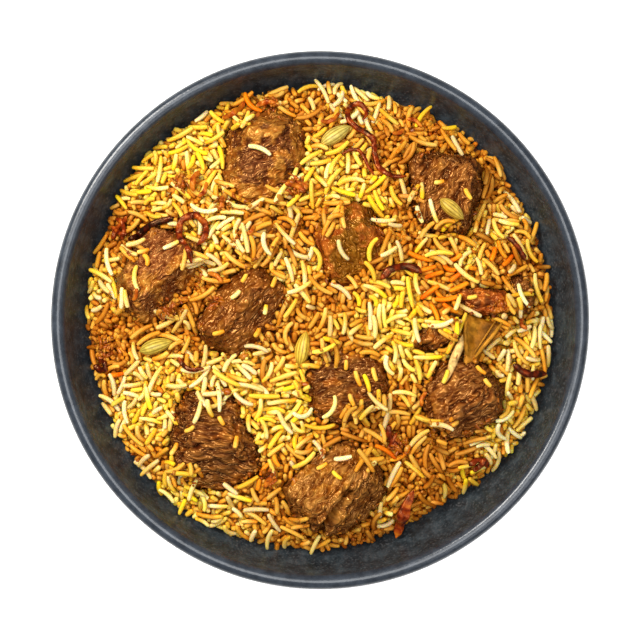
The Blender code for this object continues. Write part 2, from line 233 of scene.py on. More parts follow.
bpy.context.scene.view_settings.view_transform = "Standard"
bpy.context.scene.view_settings.exposure = 0.17
bpy.context.scene.view_settings.gamma = 0.85    # a little more bite in the shadows, as food is usually shown

tableTop, tree, shader = newMaterial("litAcrylicTable")    # opal sheet lit from beneath: white, with faint shadows
shader.inputs["Base Color"].default_value = linear("#F5F5F3")
shader.inputs["Roughness"].default_value = 0.8
shader.inputs["Emission Color"].default_value = linear("#FFFFFF")
shader.inputs["Emission Strength"].default_value = 0.42
floor = meshFrom("floor", [(-1500, -1500, 0), (1500, -1500, 0), (1500, 1500, 0), (-1500, 1500, 0)],
                 [(0, 1, 2, 3)], tableTop, smooth=False)
floor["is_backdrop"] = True
print("camera, lamps and table are in place")


# ---- the bowl, thrown stoneware

bowlSizes = dict(rimRadius=130.0, height=58.0, bead=3.6, floorRadius=52.0, floorTop=10.0, floorThick=6.5,
                 wallRise=48.0, wallRun=70.4, wallThick=5.4, wallEnd=math.radians(83), footOuter=60.0,
                 footWidth=6.0, segments=168, throwPitch=2.3, throwDepth=0.07, stepDepth=0.35)


def wallPoint(angle, offset=0.0):
    b = bowlSizes
    r = b["floorRadius"] + b["wallRun"] * math.sin(angle)
    z = b["floorTop"] + b["wallRise"] * (1 - math.cos(angle))
    out = Vector((b["wallRise"] * math.sin(angle), -b["wallRun"] * math.cos(angle))).normalized()
    return r + out.x * offset, z + out.y * offset


def bowlInside(radius):    # height of the inner face
    run = np.clip((radius - bowlSizes["floorRadius"]) / bowlSizes["wallRun"], 0, 1)
    return bowlSizes["floorTop"] + bowlSizes["wallRise"] * (1 - np.sqrt(1 - run * run))


def bowlOutline():
    b = bowlSizes
    recess = b["floorTop"] - b["floorThick"]
    footInner = b["footOuter"] - b["footWidth"]
    points = [(0, recess), (footInner * 0.5, recess), (footInner - 2.4, recess), (footInner - 0.8, recess - 1.0),
              (footInner, 0.8), (footInner + 0.3, 0.25), (footInner + 0.9, 0.0), (b["footOuter"] - 0.9, 0.0),
              (b["footOuter"] - 0.3, 0.25), (b["footOuter"], 0.8), (b["footOuter"] + 0.2, recess - 0.6),
              (b["footOuter"] + 1.2, recess + 0.3)]
    points += [wallPoint(0.24 + (b["wallEnd"] - 0.24) * i / 26, b["wallThick"]) for i in range(1, 27)]
    centre = (b["rimRadius"] - b["bead"], b["height"] - b["bead"])
    for i in range(15):
        a = math.radians(-38 + 128 * i / 14)
        points.append((centre[0] + b["bead"] * math.cos(a), centre[1] + b["bead"] * math.sin(a)))
    points += [(centre[0] - 1.3, b["height"] - 0.28), (centre[0] - 2.0, b["height"] - 0.72),
               (centre[0] - 2.7, b["height"] - 1.4), (centre[0] - 3.2, b["height"] - 2.2),
               (centre[0] - 3.45, b["height"] - 2.9)]
    length = 0.0
    last = points[-1]
    for i in range(70):
        angle = b["wallEnd"] * (1 - i / 69)
        r, z = wallPoint(angle)
        length += math.hypot(r - last[0], z - last[1])
        last = (r, z)
        wave = math.sin(math.tau * length / b["throwPitch"]) * (0.6 + 0.4 * math.sin(length * 0.37))
        step = b["stepDepth"] * math.exp(-((length - 3.2) / 0.8) ** 2)
        points.append(wallPoint(angle, b["throwDepth"] * wave + step))
    return points + [(0, b["floorTop"])]


def turningTree():    # turns a row of outline points into a closed shell of revolution
    tree = bpy.data.node_groups.new("turnOnWheel", "GeometryNodeTree")
    groupInput(tree, "Geometry", "NodeSocketGeometry")
    ids = {"Segments": groupInput(tree, "Segments", "NodeSocketInt", 64),
           "Outline points": groupInput(tree, "Outline points", "NodeSocketInt", 10),
           "Glaze": groupInput(tree, "Glaze", "NodeSocketMaterial")}
    tree.interface.new_socket("Geometry", in_out="OUTPUT", socket_type="NodeSocketGeometry")
    given = addNode(tree, "NodeGroupInput")

    def maths(operation, first, second):
        return addNode(tree, "ShaderNodeMath", {0: first, 1: second}, operation=operation).outputs[0]

    around = maths("ADD", given.outputs["Segments"], 1.0)
    grid = addNode(tree, "GeometryNodeMeshGrid", {"Vertices X": around,
                                                  "Vertices Y": given.outputs["Outline points"]})
    index = addNode(tree, "GeometryNodeInputIndex").outputs[0]
    column = maths("FLOOR", maths("DIVIDE", maths("ADD", index, 0.25), given.outputs["Outline points"]), 0.0)
    row = maths("SUBTRACT", index, maths("MULTIPLY", column, given.outputs["Outline points"]))
    place = addNode(tree, "GeometryNodeInputPosition").outputs[0]
    outline = addNode(tree, "GeometryNodeSampleIndex", {"Geometry": given.outputs["Geometry"], "Value": place,
                                                        "Index": row}, data_type="FLOAT_VECTOR", domain="POINT")
    parts = addNode(tree, "ShaderNodeSeparateXYZ", {0: outline.outputs[0]})
    turn = maths("MULTIPLY", maths("DIVIDE", column, given.outputs["Segments"]), math.tau)
    x = maths("MULTIPLY", parts.outputs["X"], maths("COSINE", turn, 0.0))
    y = maths("MULTIPLY", parts.outputs["X"], maths("SINE", turn, 0.0))
    moved = addNode(tree, "ShaderNodeCombineXYZ", {"X": x, "Y": y, "Z": parts.outputs["Z"]})
    shell = addNode(tree, "GeometryNodeSetPosition", {"Geometry": grid.outputs["Mesh"],
                                                      "Position": moved.outputs[0]})
    closed = addNode(tree, "GeometryNodeMergeByDistance", {"Geometry": shell.outputs[0], "Distance": 1e-5})
    real = addNode(tree, "GeometryNodeRealizeInstances", {"Geometry": closed.outputs[0]})
    smooth = addNode(tree, "GeometryNodeSetShadeSmooth", {"Geometry": real.outputs[0]})
    dressed = addNode(tree, "GeometryNodeSetMaterial", {"Geometry": smooth.outputs[0],
                                                        "Material": given.outputs["Glaze"]})
    addNode(tree, "NodeGroupOutput", {"Geometry": dressed.outputs[0]})
    return tree, ids


def stonewareGlaze():    # thrown stoneware, satin black glaze: soft sheen, grey mottle, iron specks, paler rim band, partly wear and partly a painted highlight
    material, tree, shader = newMaterial("satinBlackStoneware")
    place = addNode(tree, "ShaderNodeTexCoord").outputs["Object"]
    cloud = addNode(tree, "ShaderNodeTexNoise", {"Vector": place, "Scale": 170.0, "Detail": 5.0, "Roughness": 0.7})
    fleck = addNode(tree, "ShaderNodeTexNoise", {"Vector": place, "Scale": 900.0, "Detail": 3.0})    # 1 mm specks
    ground = ramp(tree, cloud.outputs["Fac"], [(0.34, "#262C30"), (0.5, "#353D42"), (0.66, "#4A545A")])
    specks = ramp(tree, fleck.outputs["Fac"], [(0.54, 0.0), (0.66, 1.0)])
    colour = blend(tree, specks, ground, linear("#565B5E"))
    height = addNode(tree, "ShaderNodeSeparateXYZ", {0: place}).outputs["Z"]
    # rim band: the top of the rim gets its own colour, partly wear and partly a painted highlight, and a lower
    # roughness
    rimBand = addNode(tree, "ShaderNodeMapRange", {"Value": height, "From Min": 0.0535, "From Max": 0.0562})
    rimBandColour = ramp(tree, cloud.outputs["Fac"], [(0.36, "#30363E"), (0.64, "#454C55")])
    colour = blend(tree, rimBand.outputs[0], colour, rimBandColour)
    tree.links.new(colour, shader.inputs["Base Color"])
    dull = addNode(tree, "ShaderNodeMapRange", {"Value": cloud.outputs["Fac"], "From Min": 0.3, "From Max": 0.7,
                                                "To Min": 0.32, "To Max": 0.42})
    sheen = blend(tree, rimBand.outputs[0], dull.outputs[0], (0.25, 0.25, 0.25, 1.0))
    tree.links.new(sheen, shader.inputs["Roughness"])
    shader.inputs["Specular IOR Level"].default_value = 0.6
    bump = addNode(tree, "ShaderNodeBump", {"Height": fleck.outputs["Fac"], "Strength": 0.35, "Distance": 0.00015})
    tree.links.new(bump.outputs[0], shader.inputs["Normal"])
    return material


outline = bowlOutline()
wheel, wheelInputs = turningTree()
blank = bpy.data.meshes.new("bowlOutline")
blank.from_pydata([(r * mm, 0, z * mm) for r, z in outline], [(i, i + 1) for i in range(len(outline) - 1)], [])
bowl = bpy.data.objects.new("bowlOutline", blank)
bpy.context.scene.collection.objects.link(bowl)
turning = bowl.modifiers.new("turning", "NODES")
turning.node_group = wheel
turning[wheelInputs["Segments"]] = bowlSizes["segments"]
turning[wheelInputs["Outline points"]] = len(outline)
turning[wheelInputs["Glaze"]] = stonewareGlaze()
bowl = closeUp(settled(bowl, "stonewareBowl"))
finishPiece(bowl, "stoneware", "bowl")
print("bowl turned,", len(bowl.data.polygons), "faces")


# ---- the mutton, braised in its masala

meatDetail = dict(voxel=0.4, strand=2.5, strandLong=6.0, strandDepth=1.0, cord=5.2, cordLong=13.0,
                  cordDepth=1.1, lump=9.0, lumpDepth=1.3, grain=3.6, grainDepth=0.9, pasteThick=0.5, kink=1.7,
                  kinkSize=5.5, edgeSoft=0.8)
# way the fibres run, how fibrous, how much paste sticks, bare spots (x, y, reach x, reach y), flat faces (the way
# each looks, its tilt, how far out it stays), finish, creases
meatPieces = {
    "mutton_1": dict(fibre=20, fibrous=0.85, paste=0.95, bare=((-29.5, 76, 9.5, 10.5),), finish="coreMutton",
                     facets=((-85, 22, 0.80), (165, 50, 0.84), (15, 48, 0.84), (95, 50, 0.86))),
    "mutton_2": dict(fibre=58, fibrous=1.1, paste=0.30, finish="rustMutton",
                     facets=((140, 9, 0.70), (-5, 68, 0.80), (-95, 52, 0.80), (190, 62, 0.84), (85, 66, 0.84))),
    "mutton_3": dict(fibre=48, fibrous=0.9, paste=0.62, bare=((-80, 32, 9, 7),), finish="goldenMutton",
                     facets=((115, 20, 0.72), (-45, 50, 0.74), (200, 60, 0.84))),
    "mutton_4": dict(fibre=-60, fibrous=0.45, paste=0.75, bare=((15, 31, 9, 10),), finish="oliveMutton",
                     facets=((-60, 30, 0.74), (140, 46, 0.80), (30, 55, 0.84))),
    "mutton_5": dict(fibre=44, fibrous=0.75, drawn=1.2, paste=0.85, bare=((-28, -1, 8, 13),), finish="rustMutton",
                     facets=((135, 42, 0.72), (-42, 34, 0.70), (-120, 60, 0.84))),
    "mutton_6": dict(fibre=15, fibrous=0.8, paste=0.55, bare=((18, -26, 9, 7), (0, -20, 5, 8)), finish="darkMutton",
                     facets=((100, 14, 0.72), (-60, 44, 0.80), (190, 50, 0.84))),
    "mutton_7": dict(fibre=-8, fibrous=1.2, drawn=1.9, paste=0.5, bare=((-50, -66, 16, 9), (-55, -48, 8, 8)),
                     finish="darkMutton", facets=((70, 22, 0.80), (-90, 42, 0.82), (180, 52, 0.86)),
                     creases=((-68, -62, -44, -57, 1.6, 1.2), (-64, -69, -38, -66, 1.2, 0.9),
                              (-62, -74, -40, -72, 1.0, 0.9))),
    "mutton_8": dict(fibre=60, fibrous=0.95, paste=0.35, finish="tanMutton",
                     facets=((130, 28, 0.78), (-30, 48, 0.80), (45, 42, 0.86), (-140, 50, 0.88)),
                     creases=((14, -83, 0.5, -102.5, 6.5, 1.9),)),
    "mutton_9": dict(fibre=32, fibrous=1.1, drawn=1.5, paste=0.3, finish="rustMutton",
                     facets=((120, 24, 0.86), (-60, 46, 0.86)),
                     creases=((66, -24, 82, -34, 1.3, 0.9), (70, -21, 86, -30, 1.1, 0.8))),
    "mutton_10": dict(fibre=40, fibrous=1.0, paste=0.3, finish="darkMutton", facets=((130, 30, 0.8),)),
    "mutton_11": dict(fibre=20, fibrous=0.5, paste=0.9, finish="goldenMutton", facets=((60, 20, 0.8),)),
    "mutton_12": dict(fibre=10, fibrous=0.7, paste=0.8, finish="crustMutton", facets=((120, 30, 0.8),)),
    "mutton_13": dict(fibre=70, fibrous=0.8, paste=0.2, finish="darkMutton", facets=((150, 30, 0.8),)),
}
meatFinishes = {    # furrow, flesh, fibre, paste and paste ridge colours: the furrow colour is painted shade where the relief is low, fibre and paste ridge are lightened as a painted highlight where it is high
    "goldenMutton": ("#4B1D0A", "#81441F", "#B37A44", "#A2601D", "#D09C49"),
    "coreMutton": ("#3E1608", "#6C361A", "#A26A3A", "#A5611D", "#D39E49"),
    "rustMutton": ("#3F1704", "#703913", "#A76E33", "#7D3F0D", "#B37831"),
    "tanMutton": ("#451D04", "#814915", "#BA843F", "#8E4F0E", "#C08838"),
    "oliveMutton": ("#4C2102", "#86510C", "#AB7823", "#A3531B", "#CE8630"),
    "darkMutton": ("#301106", "#633113", "#96612A", "#894611", "#BA7D33"),
    "crustMutton": ("#3C1204", "#6E3214", "#A06030", "#9A440E", "#CA7626"),
}


def meatFinish(name, colours):    # braised meat: wavy brown fibres with painted shade between them and a painted highlight on their crests, oily golden paste sticking on top
    furrow, flesh, fibre, paste, pasteCrestHighlight = colours
    material, tree, shader = newMaterial(name)
    place = addNode(tree, "ShaderNodeTexCoord").outputs["Object"]
    weave = addNode(tree, "ShaderNodeAttribute", attribute_name="weave").outputs["Vector"]
    height = addNode(tree, "ShaderNodeAttribute", attribute_name="ridge").outputs["Fac"]
    pasted = addNode(tree, "ShaderNodeAttribute", attribute_name="pasted").outputs["Fac"]

    def maths(operation, *values):
        return addNode(tree, "ShaderNodeMath", dict(enumerate(values)), operation=operation).outputs[0]

    def folded(vector, scale):    # rounded strands with sharp furrows
        noise = addNode(tree, "ShaderNodeTexNoise", {"Vector": vector, "Scale": scale, "Detail": 0.6,
                                                     "Distortion": 0.35})
        return maths("MULTIPLY", maths("ABSOLUTE", maths("SUBTRACT", noise.outputs["Fac"], 0.5)), 4.5)

    patch = addNode(tree, "ShaderNodeTexNoise", {"Vector": place, "Scale": 170.0, "Detail": 5.0, "Roughness": 0.65})
    threads = folded(weave, 1.0)
    smears = folded(place, 210.0)
    fine = blend(tree, pasted, threads, maths("MULTIPLY_ADD", smears, 0.35, maths("MULTIPLY", threads, 0.65)))
    grit = addNode(tree, "ShaderNodeTexNoise", {"Vector": place, "Scale": 1400.0, "Detail": 2.0}).outputs["Fac"]
    level = maths("MULTIPLY_ADD", maths("SUBTRACT", fine, 0.42), 0.22, height)
    level = maths("MULTIPLY_ADD", maths("SUBTRACT", grit, 0.5), 0.08, level)
    # painted shade and highlight: these ramps run dark in the furrows and light on the crests, following the relief
    # height and the thread noise
    bare = ramp(tree, level, [(0.06, furrow), (0.38, flesh), (0.95, fibre)])
    coated = ramp(tree, level, [(0.04, furrow), (0.36, paste), (0.92, pasteCrestHighlight)])
    colour = blend(tree, pasted, bare, coated)
    stain = ramp(tree, patch.outputs["Fac"], [(0.36, 0.7), (0.58, 1.0)])
    colour = blend(tree, 0.6, colour, stain, "MULTIPLY")
    # painted shade: the steep sides of each piece are multiplied darker
    paintedSideShade = addNode(tree, "ShaderNodeAttribute", attribute_name="paintedSideShade").outputs["Fac"]
    colour = blend(tree, paintedSideShade, colour, blend(tree, 1.0, colour, (0.58, 0.50, 0.42, 1.0), "MULTIPLY"))
    tree.links.new(colour, shader.inputs["Base Color"])
    wet = addNode(tree, "ShaderNodeMapRange", {"Value": patch.outputs["Fac"], "From Min": 0.35, "From Max": 0.65,
                                               "To Min": 0.16, "To Max": 0.28})
    tree.links.new(wet.outputs[0], shader.inputs["Roughness"])
    shader.inputs["Specular IOR Level"].default_value = 1.0
    shader.inputs["Specular Tint"].default_value = linear("#FFC880")
    relief = maths("MULTIPLY_ADD", grit, 0.03, fine)
    bump = addNode(tree, "ShaderNodeBump", {"Height": relief, "Strength": 0.9, "Distance": 0.0008})
    tree.links.new(bump.outputs[0], shader.inputs["Normal"])
    return material


def folds(points, size, shift):    # the same rounded strands as an array, 0 in the furrows
    return np.minimum(1, 2.7 * np.abs(noiseAt(points / size, 1.0, shift))) ** 0.75


def normalsOf(mesh):
    flat = np.empty(len(mesh.vertices) * 3)
    mesh.vertices.foreach_get("normal", flat)
    return flat.reshape(-1, 3)


def cutFaces(p, facets):    # presses the lump flat on some sides, then stretches it back to its full size
    low, high = p.min(0), p.max(0)
    soft = meatDetail["edgeSoft"]
    for towards, tilt, keep in facets:
        a, t = math.radians(towards), math.radians(tilt)
        n = np.array((math.cos(a) * math.sin(t), math.sin(a) * math.sin(t), math.cos(t)))
        reach = (p - (low + high) / 2) @ n
        p = p - np.outer(0.9 * soft * np.logaddexp(0, (reach - keep * reach.max()) / soft), n)
    return low + (p - p.min(0)) * (high - low) / (p.max(0) - p.min(0))


def cookedPiece(name, spec, material):
    source = bmesh.new()
    source.from_mesh(nodes[name].data)
    bmesh.ops.remove_doubles(source, verts=source.verts, dist=1e-6)
    rough = bpy.data.meshes.new(name)
    source.to_mesh(rough)
    source.free()
    piece = bpy.data.objects.new(name, rough)
    bpy.context.scene.collection.objects.link(piece)
    remesh = piece.modifiers.new("evenMesh", "REMESH")
    remesh.mode = "VOXEL"
    remesh.voxel_size = meatDetail["voxel"] * mm
    piece = settled(piece, "braised_" + name)
    mesh = piece.data
    for _ in range(3):
        relax(mesh)
    movePoints(mesh, cutFaces(pointsOf(mesh), spec["facets"]))
    relax(mesh)
    d = meatDetail
    p, normal = pointsOf(mesh), normalsOf(mesh)
    way = math.radians(spec["fibre"])
    local = p @ np.array([(math.cos(way), -math.sin(way), 0), (math.sin(way), math.cos(way), 0), (0, 0, 1)])
    for axis in (1, 2):
        local[:, axis] += d["kink"] / spec.get("drawn", 1.0) * noiseAt(p, d["kinkSize"], axis)
    strands = folds(local, (d["strandLong"] * spec.get("drawn", 1.0), d["strand"], d["strand"]), 3)
    cords = folds(local, (d["cordLong"], d["cord"], d["cord"]), 4)
    lumps = noiseAt(p, d["lump"], 5) + 0.5 * noiseAt(p, d["lump"] / 2, 6)
    granules = 0.45 + 0.9 * noiseAt(p, d["grain"], 7)
    bare = np.zeros(len(p))
    for x, y, reachX, reachY in spec.get("bare", ()):
        bare = np.maximum(bare, 1.25 - np.hypot((p[:, 0] - x) / reachX, (p[:, 1] - y) / reachY))
    pasted = smoothStep(-0.1, 0.3, noiseAt(p, 8.0, 8) + 0.5 * noiseAt(p, 3.0, 9) + spec["paste"] - 0.55
                        - 1.4 * np.clip(bare, 0, 1))
    fibres = spec["fibrous"] * (1 - 0.35 * pasted)
    moved = (strands - 0.5) * d["strandDepth"] * fibres + (cords - 0.5) * d["cordDepth"] * fibres
    moved += lumps * d["lumpDepth"] + (granules - 0.45) * d["grainDepth"] * (0.15 + pasted)
    moved += d["pasteThick"] * pasted
    for x0, y0, x1, y1, depth, width in spec.get("creases", ()):
        start, end = np.array((x0, y0)), np.array((x1, y1))
        t = np.clip(((p[:, :2] - start) @ (end - start)) / ((end - start) @ (end - start)), 0, 1)
        away = np.linalg.norm(p[:, :2] - start - t[:, None] * (end - start), axis=1) + 0.8 * noiseAt(p, 2.5, 10)
        moved -= depth * np.exp(-(away / width) ** 2) * (normal[:, 2] > -0.2)
    movePoints(mesh, p + normal * moved[:, None])
    # ridge is the relief height; the finish reads it only to paint shade into the furrows and light onto the crests
    ridge = 0.5 + (0.44 * (strands - 0.5) + 0.34 * (cords - 0.5)) * fibres + 0.12 * lumps
    ridge += 0.25 * (granules - 0.45) * (0.15 + pasted)
    storeValues(mesh, "ridge", np.clip(ridge, 0, 1))
    storeValues(mesh, "pasted", pasted)
    # painted shade on the steep sides, read by the finish
    storeValues(mesh, "paintedSideShade", smoothStep(0.08, 0.55, 1 - normal[:, 2]))
    storeValues(mesh, "weave", local / (4.8 * spec.get("drawn", 1.0), 1.9, 1.9))
    mesh.shade_smooth()
    mesh.materials.clear()
    mesh.materials.append(material)
    return piece


def relax(mesh):    # one pass of moving each point half way to the mean of its neighbours
    ends = np.empty(len(mesh.edges) * 2, int)
    mesh.edges.foreach_get("vertices", ends)
    ends = ends.reshape(-1, 2)
    p = pointsOf(mesh)
    total = np.zeros_like(p)
    count = np.zeros(len(p))
    for a, b in ((0, 1), (1, 0)):
        np.add.at(total, ends[:, a], p[ends[:, b]])
        np.add.at(count, ends[:, a], 1)
    movePoints(mesh, 0.5 * p + 0.5 * total / count[:, None])


finishes = {name: meatFinish(name, colours) for name, colours in meatFinishes.items()}
meat = {}
for name, spec in meatPieces.items():
    meat[name] = cookedPiece(name, spec, finishes[spec["finish"]])
    finishPiece(meat[name], "mutton", name)
print("mutton shaped,", sum(len(piece.data.polygons) for piece in meat.values()), "faces")


# ---- the end of the shank bone

boneShape = dict(start=(71.3, -22.0), end=(78.2, 0.5), top=60.6, thick=5.4, hollow=3.0,
                 widths=((0, 2.6), (0.25, 3.9), (0.5, 5.5), (0.75, 7.4), (1, 9.0)))
straps = {    # route in mm, half widths along it, how pale
    "sawnEdge": (((87.4, -1.2, 60.2), (83.4, -6.6, 60.8), (78.6, -12.4, 60.8), (74.2, -18.2, 59.8)),
                 (0.7, 1.0, 1.0, 0.7), 0.66),
    "innerEdge": (((84.4, 0.0, 60.0), (80.8, -5.6, 60.4), (76.8, -11.6, 60.4), (73.0, -17.4, 59.6)),
                  (0.3, 0.5, 0.5, 0.4), 0.55),
    "tendon": (((70.2, -0.2, 60.2), (69.6, -6.0, 60.9), (69.8, -11.0, 61.0), (70.6, -17.0, 60.4)),
               (0.8, 1.0, 1.2, 0.9), 0.6),
    "fat": (((68.6, -7.0, 60.6), (66.8, -13.0, 61.2), (63.8, -20.0, 61.0), (60.6, -29.0, 60.2)),
            (0.7, 2.1, 2.2, 0.8), 1.0),
    "knuckle": (((87.2, 2.6, 60.4), (88.4, 1.8, 60.8), (89.4, 0.8, 60.2)), (1.2, 1.7, 1.2), 1.0),
}


def tube(route, half, sides=10, flat=1.0, tip=0.35, ring=None):    # points and faces of a closed strip along a route
    route = np.asarray(route, float)
    share = np.linspace(0, 1, len(route))
    ahead = np.gradient(route, axis=0)
    ahead /= np.linalg.norm(ahead, axis=1)[:, None]
    side = np.cross(ahead, (0, 0, 1))
    side /= np.maximum(np.linalg.norm(side, axis=1)[:, None], 1e-6)
    up = np.cross(side, ahead)
    half = np.broadcast_to(half, len(route)) * np.maximum(tip, (1 - (2 * share - 1) ** 6) ** 0.5)
    turn = math.tau * np.arange(sides) / sides
    shape = ring(share[:, None], turn[None, :]) if ring else 1.0
    points = (route[:, None, :] + side[:, None, :] * (half[:, None] * np.cos(turn) * shape)[..., None]
              + up[:, None, :] * (half[:, None] * flat * np.sin(turn) * shape)[..., None]).reshape(-1, 3)
    faces = [(i * sides + j, i * sides + (j + 1) % sides, (i + 1) * sides + (j + 1) % sides, (i + 1) * sides + j)
             for i in range(len(route) - 1) for j in range(sides)]
    caps = [route[0] - ahead[0] * half[0] * 0.5, route[-1] + ahead[-1] * half[-1] * 0.5]
    n, last = len(points), (len(route) - 1) * sides
    faces += [(n, (j + 1) % sides, j) for j in range(sides)]
    faces += [(n + 1, last + j, last + (j + 1) % sides) for j in range(sides)]
    return np.concatenate([points, caps]), faces


def through(route, count):    # a smooth line of points through the given ones
    route = np.asarray(route, float)
    route = np.concatenate([2 * route[:1] - route[1:2], route, 2 * route[-1:] - route[-2:-1]])
    made = []
    for t in np.linspace(0, len(route) - 3.0001, count):
        i, f = int(t), t - int(t)
        a, b, c, d = route[i:i + 4]
        made.append(0.5 * (2 * b + (c - a) * f + (2 * a - 5 * b + 4 * c - d) * f ** 2 + (3 * b - a - 3 * c + d) * f ** 3))
    return np.array(made)


def joined(parts):
    points, faces, start = [], [], 0
    for some, more in parts:
        points.append(some)
        faces += [tuple(v + start for v in face) for face in more]
        start += len(some)
    return np.concatenate(points), faces


def boneFinish():    # cooked bone: warm ivory stained by the gravy, with painted shade making the body darker toward its right side, away from the light, waxy gloss
    material, tree, shader = newMaterial("gravyStainedBone")
    place = addNode(tree, "ShaderNodeTexCoord").outputs["Object"]
    pale = addNode(tree, "ShaderNodeAttribute", attribute_name="pale").outputs["Fac"]
    stain = addNode(tree, "ShaderNodeTexNoise", {"Vector": place, "Scale": 380.0, "Detail": 5.0})
    colour = ramp(tree, pale, [(0.0, "#4E2802"), (0.35, "#8A560C"), (0.7, "#C08A30"), (1.0, "#EEC884")])
    dark = ramp(tree, stain.outputs["Fac"], [(0.34, 0.45), (0.58, 1.0)])
    colour = blend(tree, 0.85, colour, dark, "MULTIPLY")
    tree.links.new(colour, shader.inputs["Base Color"])
    shader.inputs["Roughness"].default_value = 0.22
    shader.inputs["Specular IOR Level"].default_value = 0.45
    shader.inputs["Specular Tint"].default_value = linear("#FFC070")
    bump = addNode(tree, "ShaderNodeBump", {"Height": stain.outputs["Fac"], "Strength": 0.4, "Distance": 0.0005})
    tree.links.new(bump.outputs[0], shader.inputs["Normal"])
    return material


def shankBone():
    b = boneShape
    start, end = np.array(b["start"]), np.array(b["end"])
    ahead = (end - start) / np.linalg.norm(end - start)
    side = np.array((ahead[1], -ahead[0]))
    stations, around = 22, 32
    points = []
    for i in range(stations):
        share = i / (stations - 1)
        half = np.interp(share, *zip(*b["widths"]))
        middle = start + (end - start) * share
        for j in range(around):
            turn = math.tau * j / around
            across = math.copysign(abs(math.cos(turn)) ** 0.7, math.cos(turn))
            lift = math.copysign(abs(math.sin(turn)) ** 0.7, math.sin(turn)) * b["thick"] / 2
            z = b["top"] - b["thick"] / 2 + lift - (b["hollow"] * (1 - across ** 2) * share ** 0.7 if lift > 0 else 0)
            points.append((*(middle + side * half * across), z + 0.25 * noiseAt(np.array([[*middle, j]]), 3.0)[0]))
    faces = [(i * around + j, i * around + (j + 1) % around, (i + 1) * around + (j + 1) % around,
              (i + 1) * around + j) for i in range(stations - 1) for j in range(around)]
    faces += [tuple(range(around))[::-1], tuple((stations - 1) * around + j for j in range(around))]
    parts = [(np.array(points), faces)]
    tones = [1.0]
    flesh = pointsOf(meat["mutton_9"].data)
    for route, half, tone in straps.values():
        route = through(route, 26)
        for spot in route:    # where a strap runs on over the meat it lies on top
            under = flesh[np.hypot(flesh[:, 0] - spot[0], flesh[:, 1] - spot[1]) < 1.2, 2]
            spot[2] = max([spot[2], *(under + 0.5)])
        parts.append(tube(route, np.interp(np.linspace(0, 1, 26), np.linspace(0, 1, len(half)), half), flat=0.8))
        tones.append(tone)
    allPoints, allFaces = joined(parts)
    piece = meshFrom("shankBone", allPoints, allFaces, boneFinish())
    toneAndShade = np.repeat(tones, [len(some) for some, _ in parts])
    aside = (allPoints[:len(points), :2] - start) @ side
    # painted shade: the body is paler on its left side and darker toward its right, as light from the upper left falls;
    # the noise adds real tone
    toneAndShade[:len(points)] = 0.55 - 0.35 * smoothStep(-3, 5, aside) + 0.35 * noiseAt(allPoints[:len(points)], 5.0, 12)
    toneAndShade[:stations * around] += 0.3 * np.tile(np.abs(np.cos(math.tau * np.arange(around) / around)) ** 6, stations)
    storeValues(piece.data, "pale", np.clip(toneAndShade, 0, 1))
    return finishPiece(closeUp(piece), "bone", "shank_bone")


shank = shankBone()


# ---- green cardamom pods

podShape = dict(rows=40, sides=48, ribs=12, ribDepth=0.055, lobeDepth=0.07, tipLength=0.12)
podTones = {    # furrow and ridge colours, share of the full size
    "cardamom_1": ("#9C8022", "#DAC66A", 1.0), "cardamom_2": ("#9A7616", "#DEBE50", 0.88),
    "cardamom_3": ("#A27C16", "#E4C44C", 1.0), "cardamom_4": ("#947A1A", "#D6BE54", 1.0),
}


def podFinish(name, furrow, ridge):    # dry ribbed husk softened by steam: straw green, paler ridges, low sheen
    material, tree, shader = newMaterial(name)
    place = addNode(tree, "ShaderNodeTexCoord").outputs["Object"]
    rib = addNode(tree, "ShaderNodeAttribute", attribute_name="rib").outputs["Fac"]
    cloud = addNode(tree, "ShaderNodeTexNoise", {"Vector": place, "Scale": 420.0, "Detail": 4.0})
    colour = ramp(tree, rib, [(0.1, furrow), (0.75, ridge)])
    shade = ramp(tree, cloud.outputs["Fac"], [(0.32, 0.66), (0.6, 1.0)])
    colour = blend(tree, 0.9, colour, shade, "MULTIPLY")
    tree.links.new(colour, shader.inputs["Base Color"])
    shader.inputs["Roughness"].default_value = 0.42
    bump = addNode(tree, "ShaderNodeBump", {"Height": cloud.outputs["Fac"], "Strength": 0.3, "Distance": 0.0004})
    tree.links.new(bump.outputs[0], shader.inputs["Normal"])
    return material


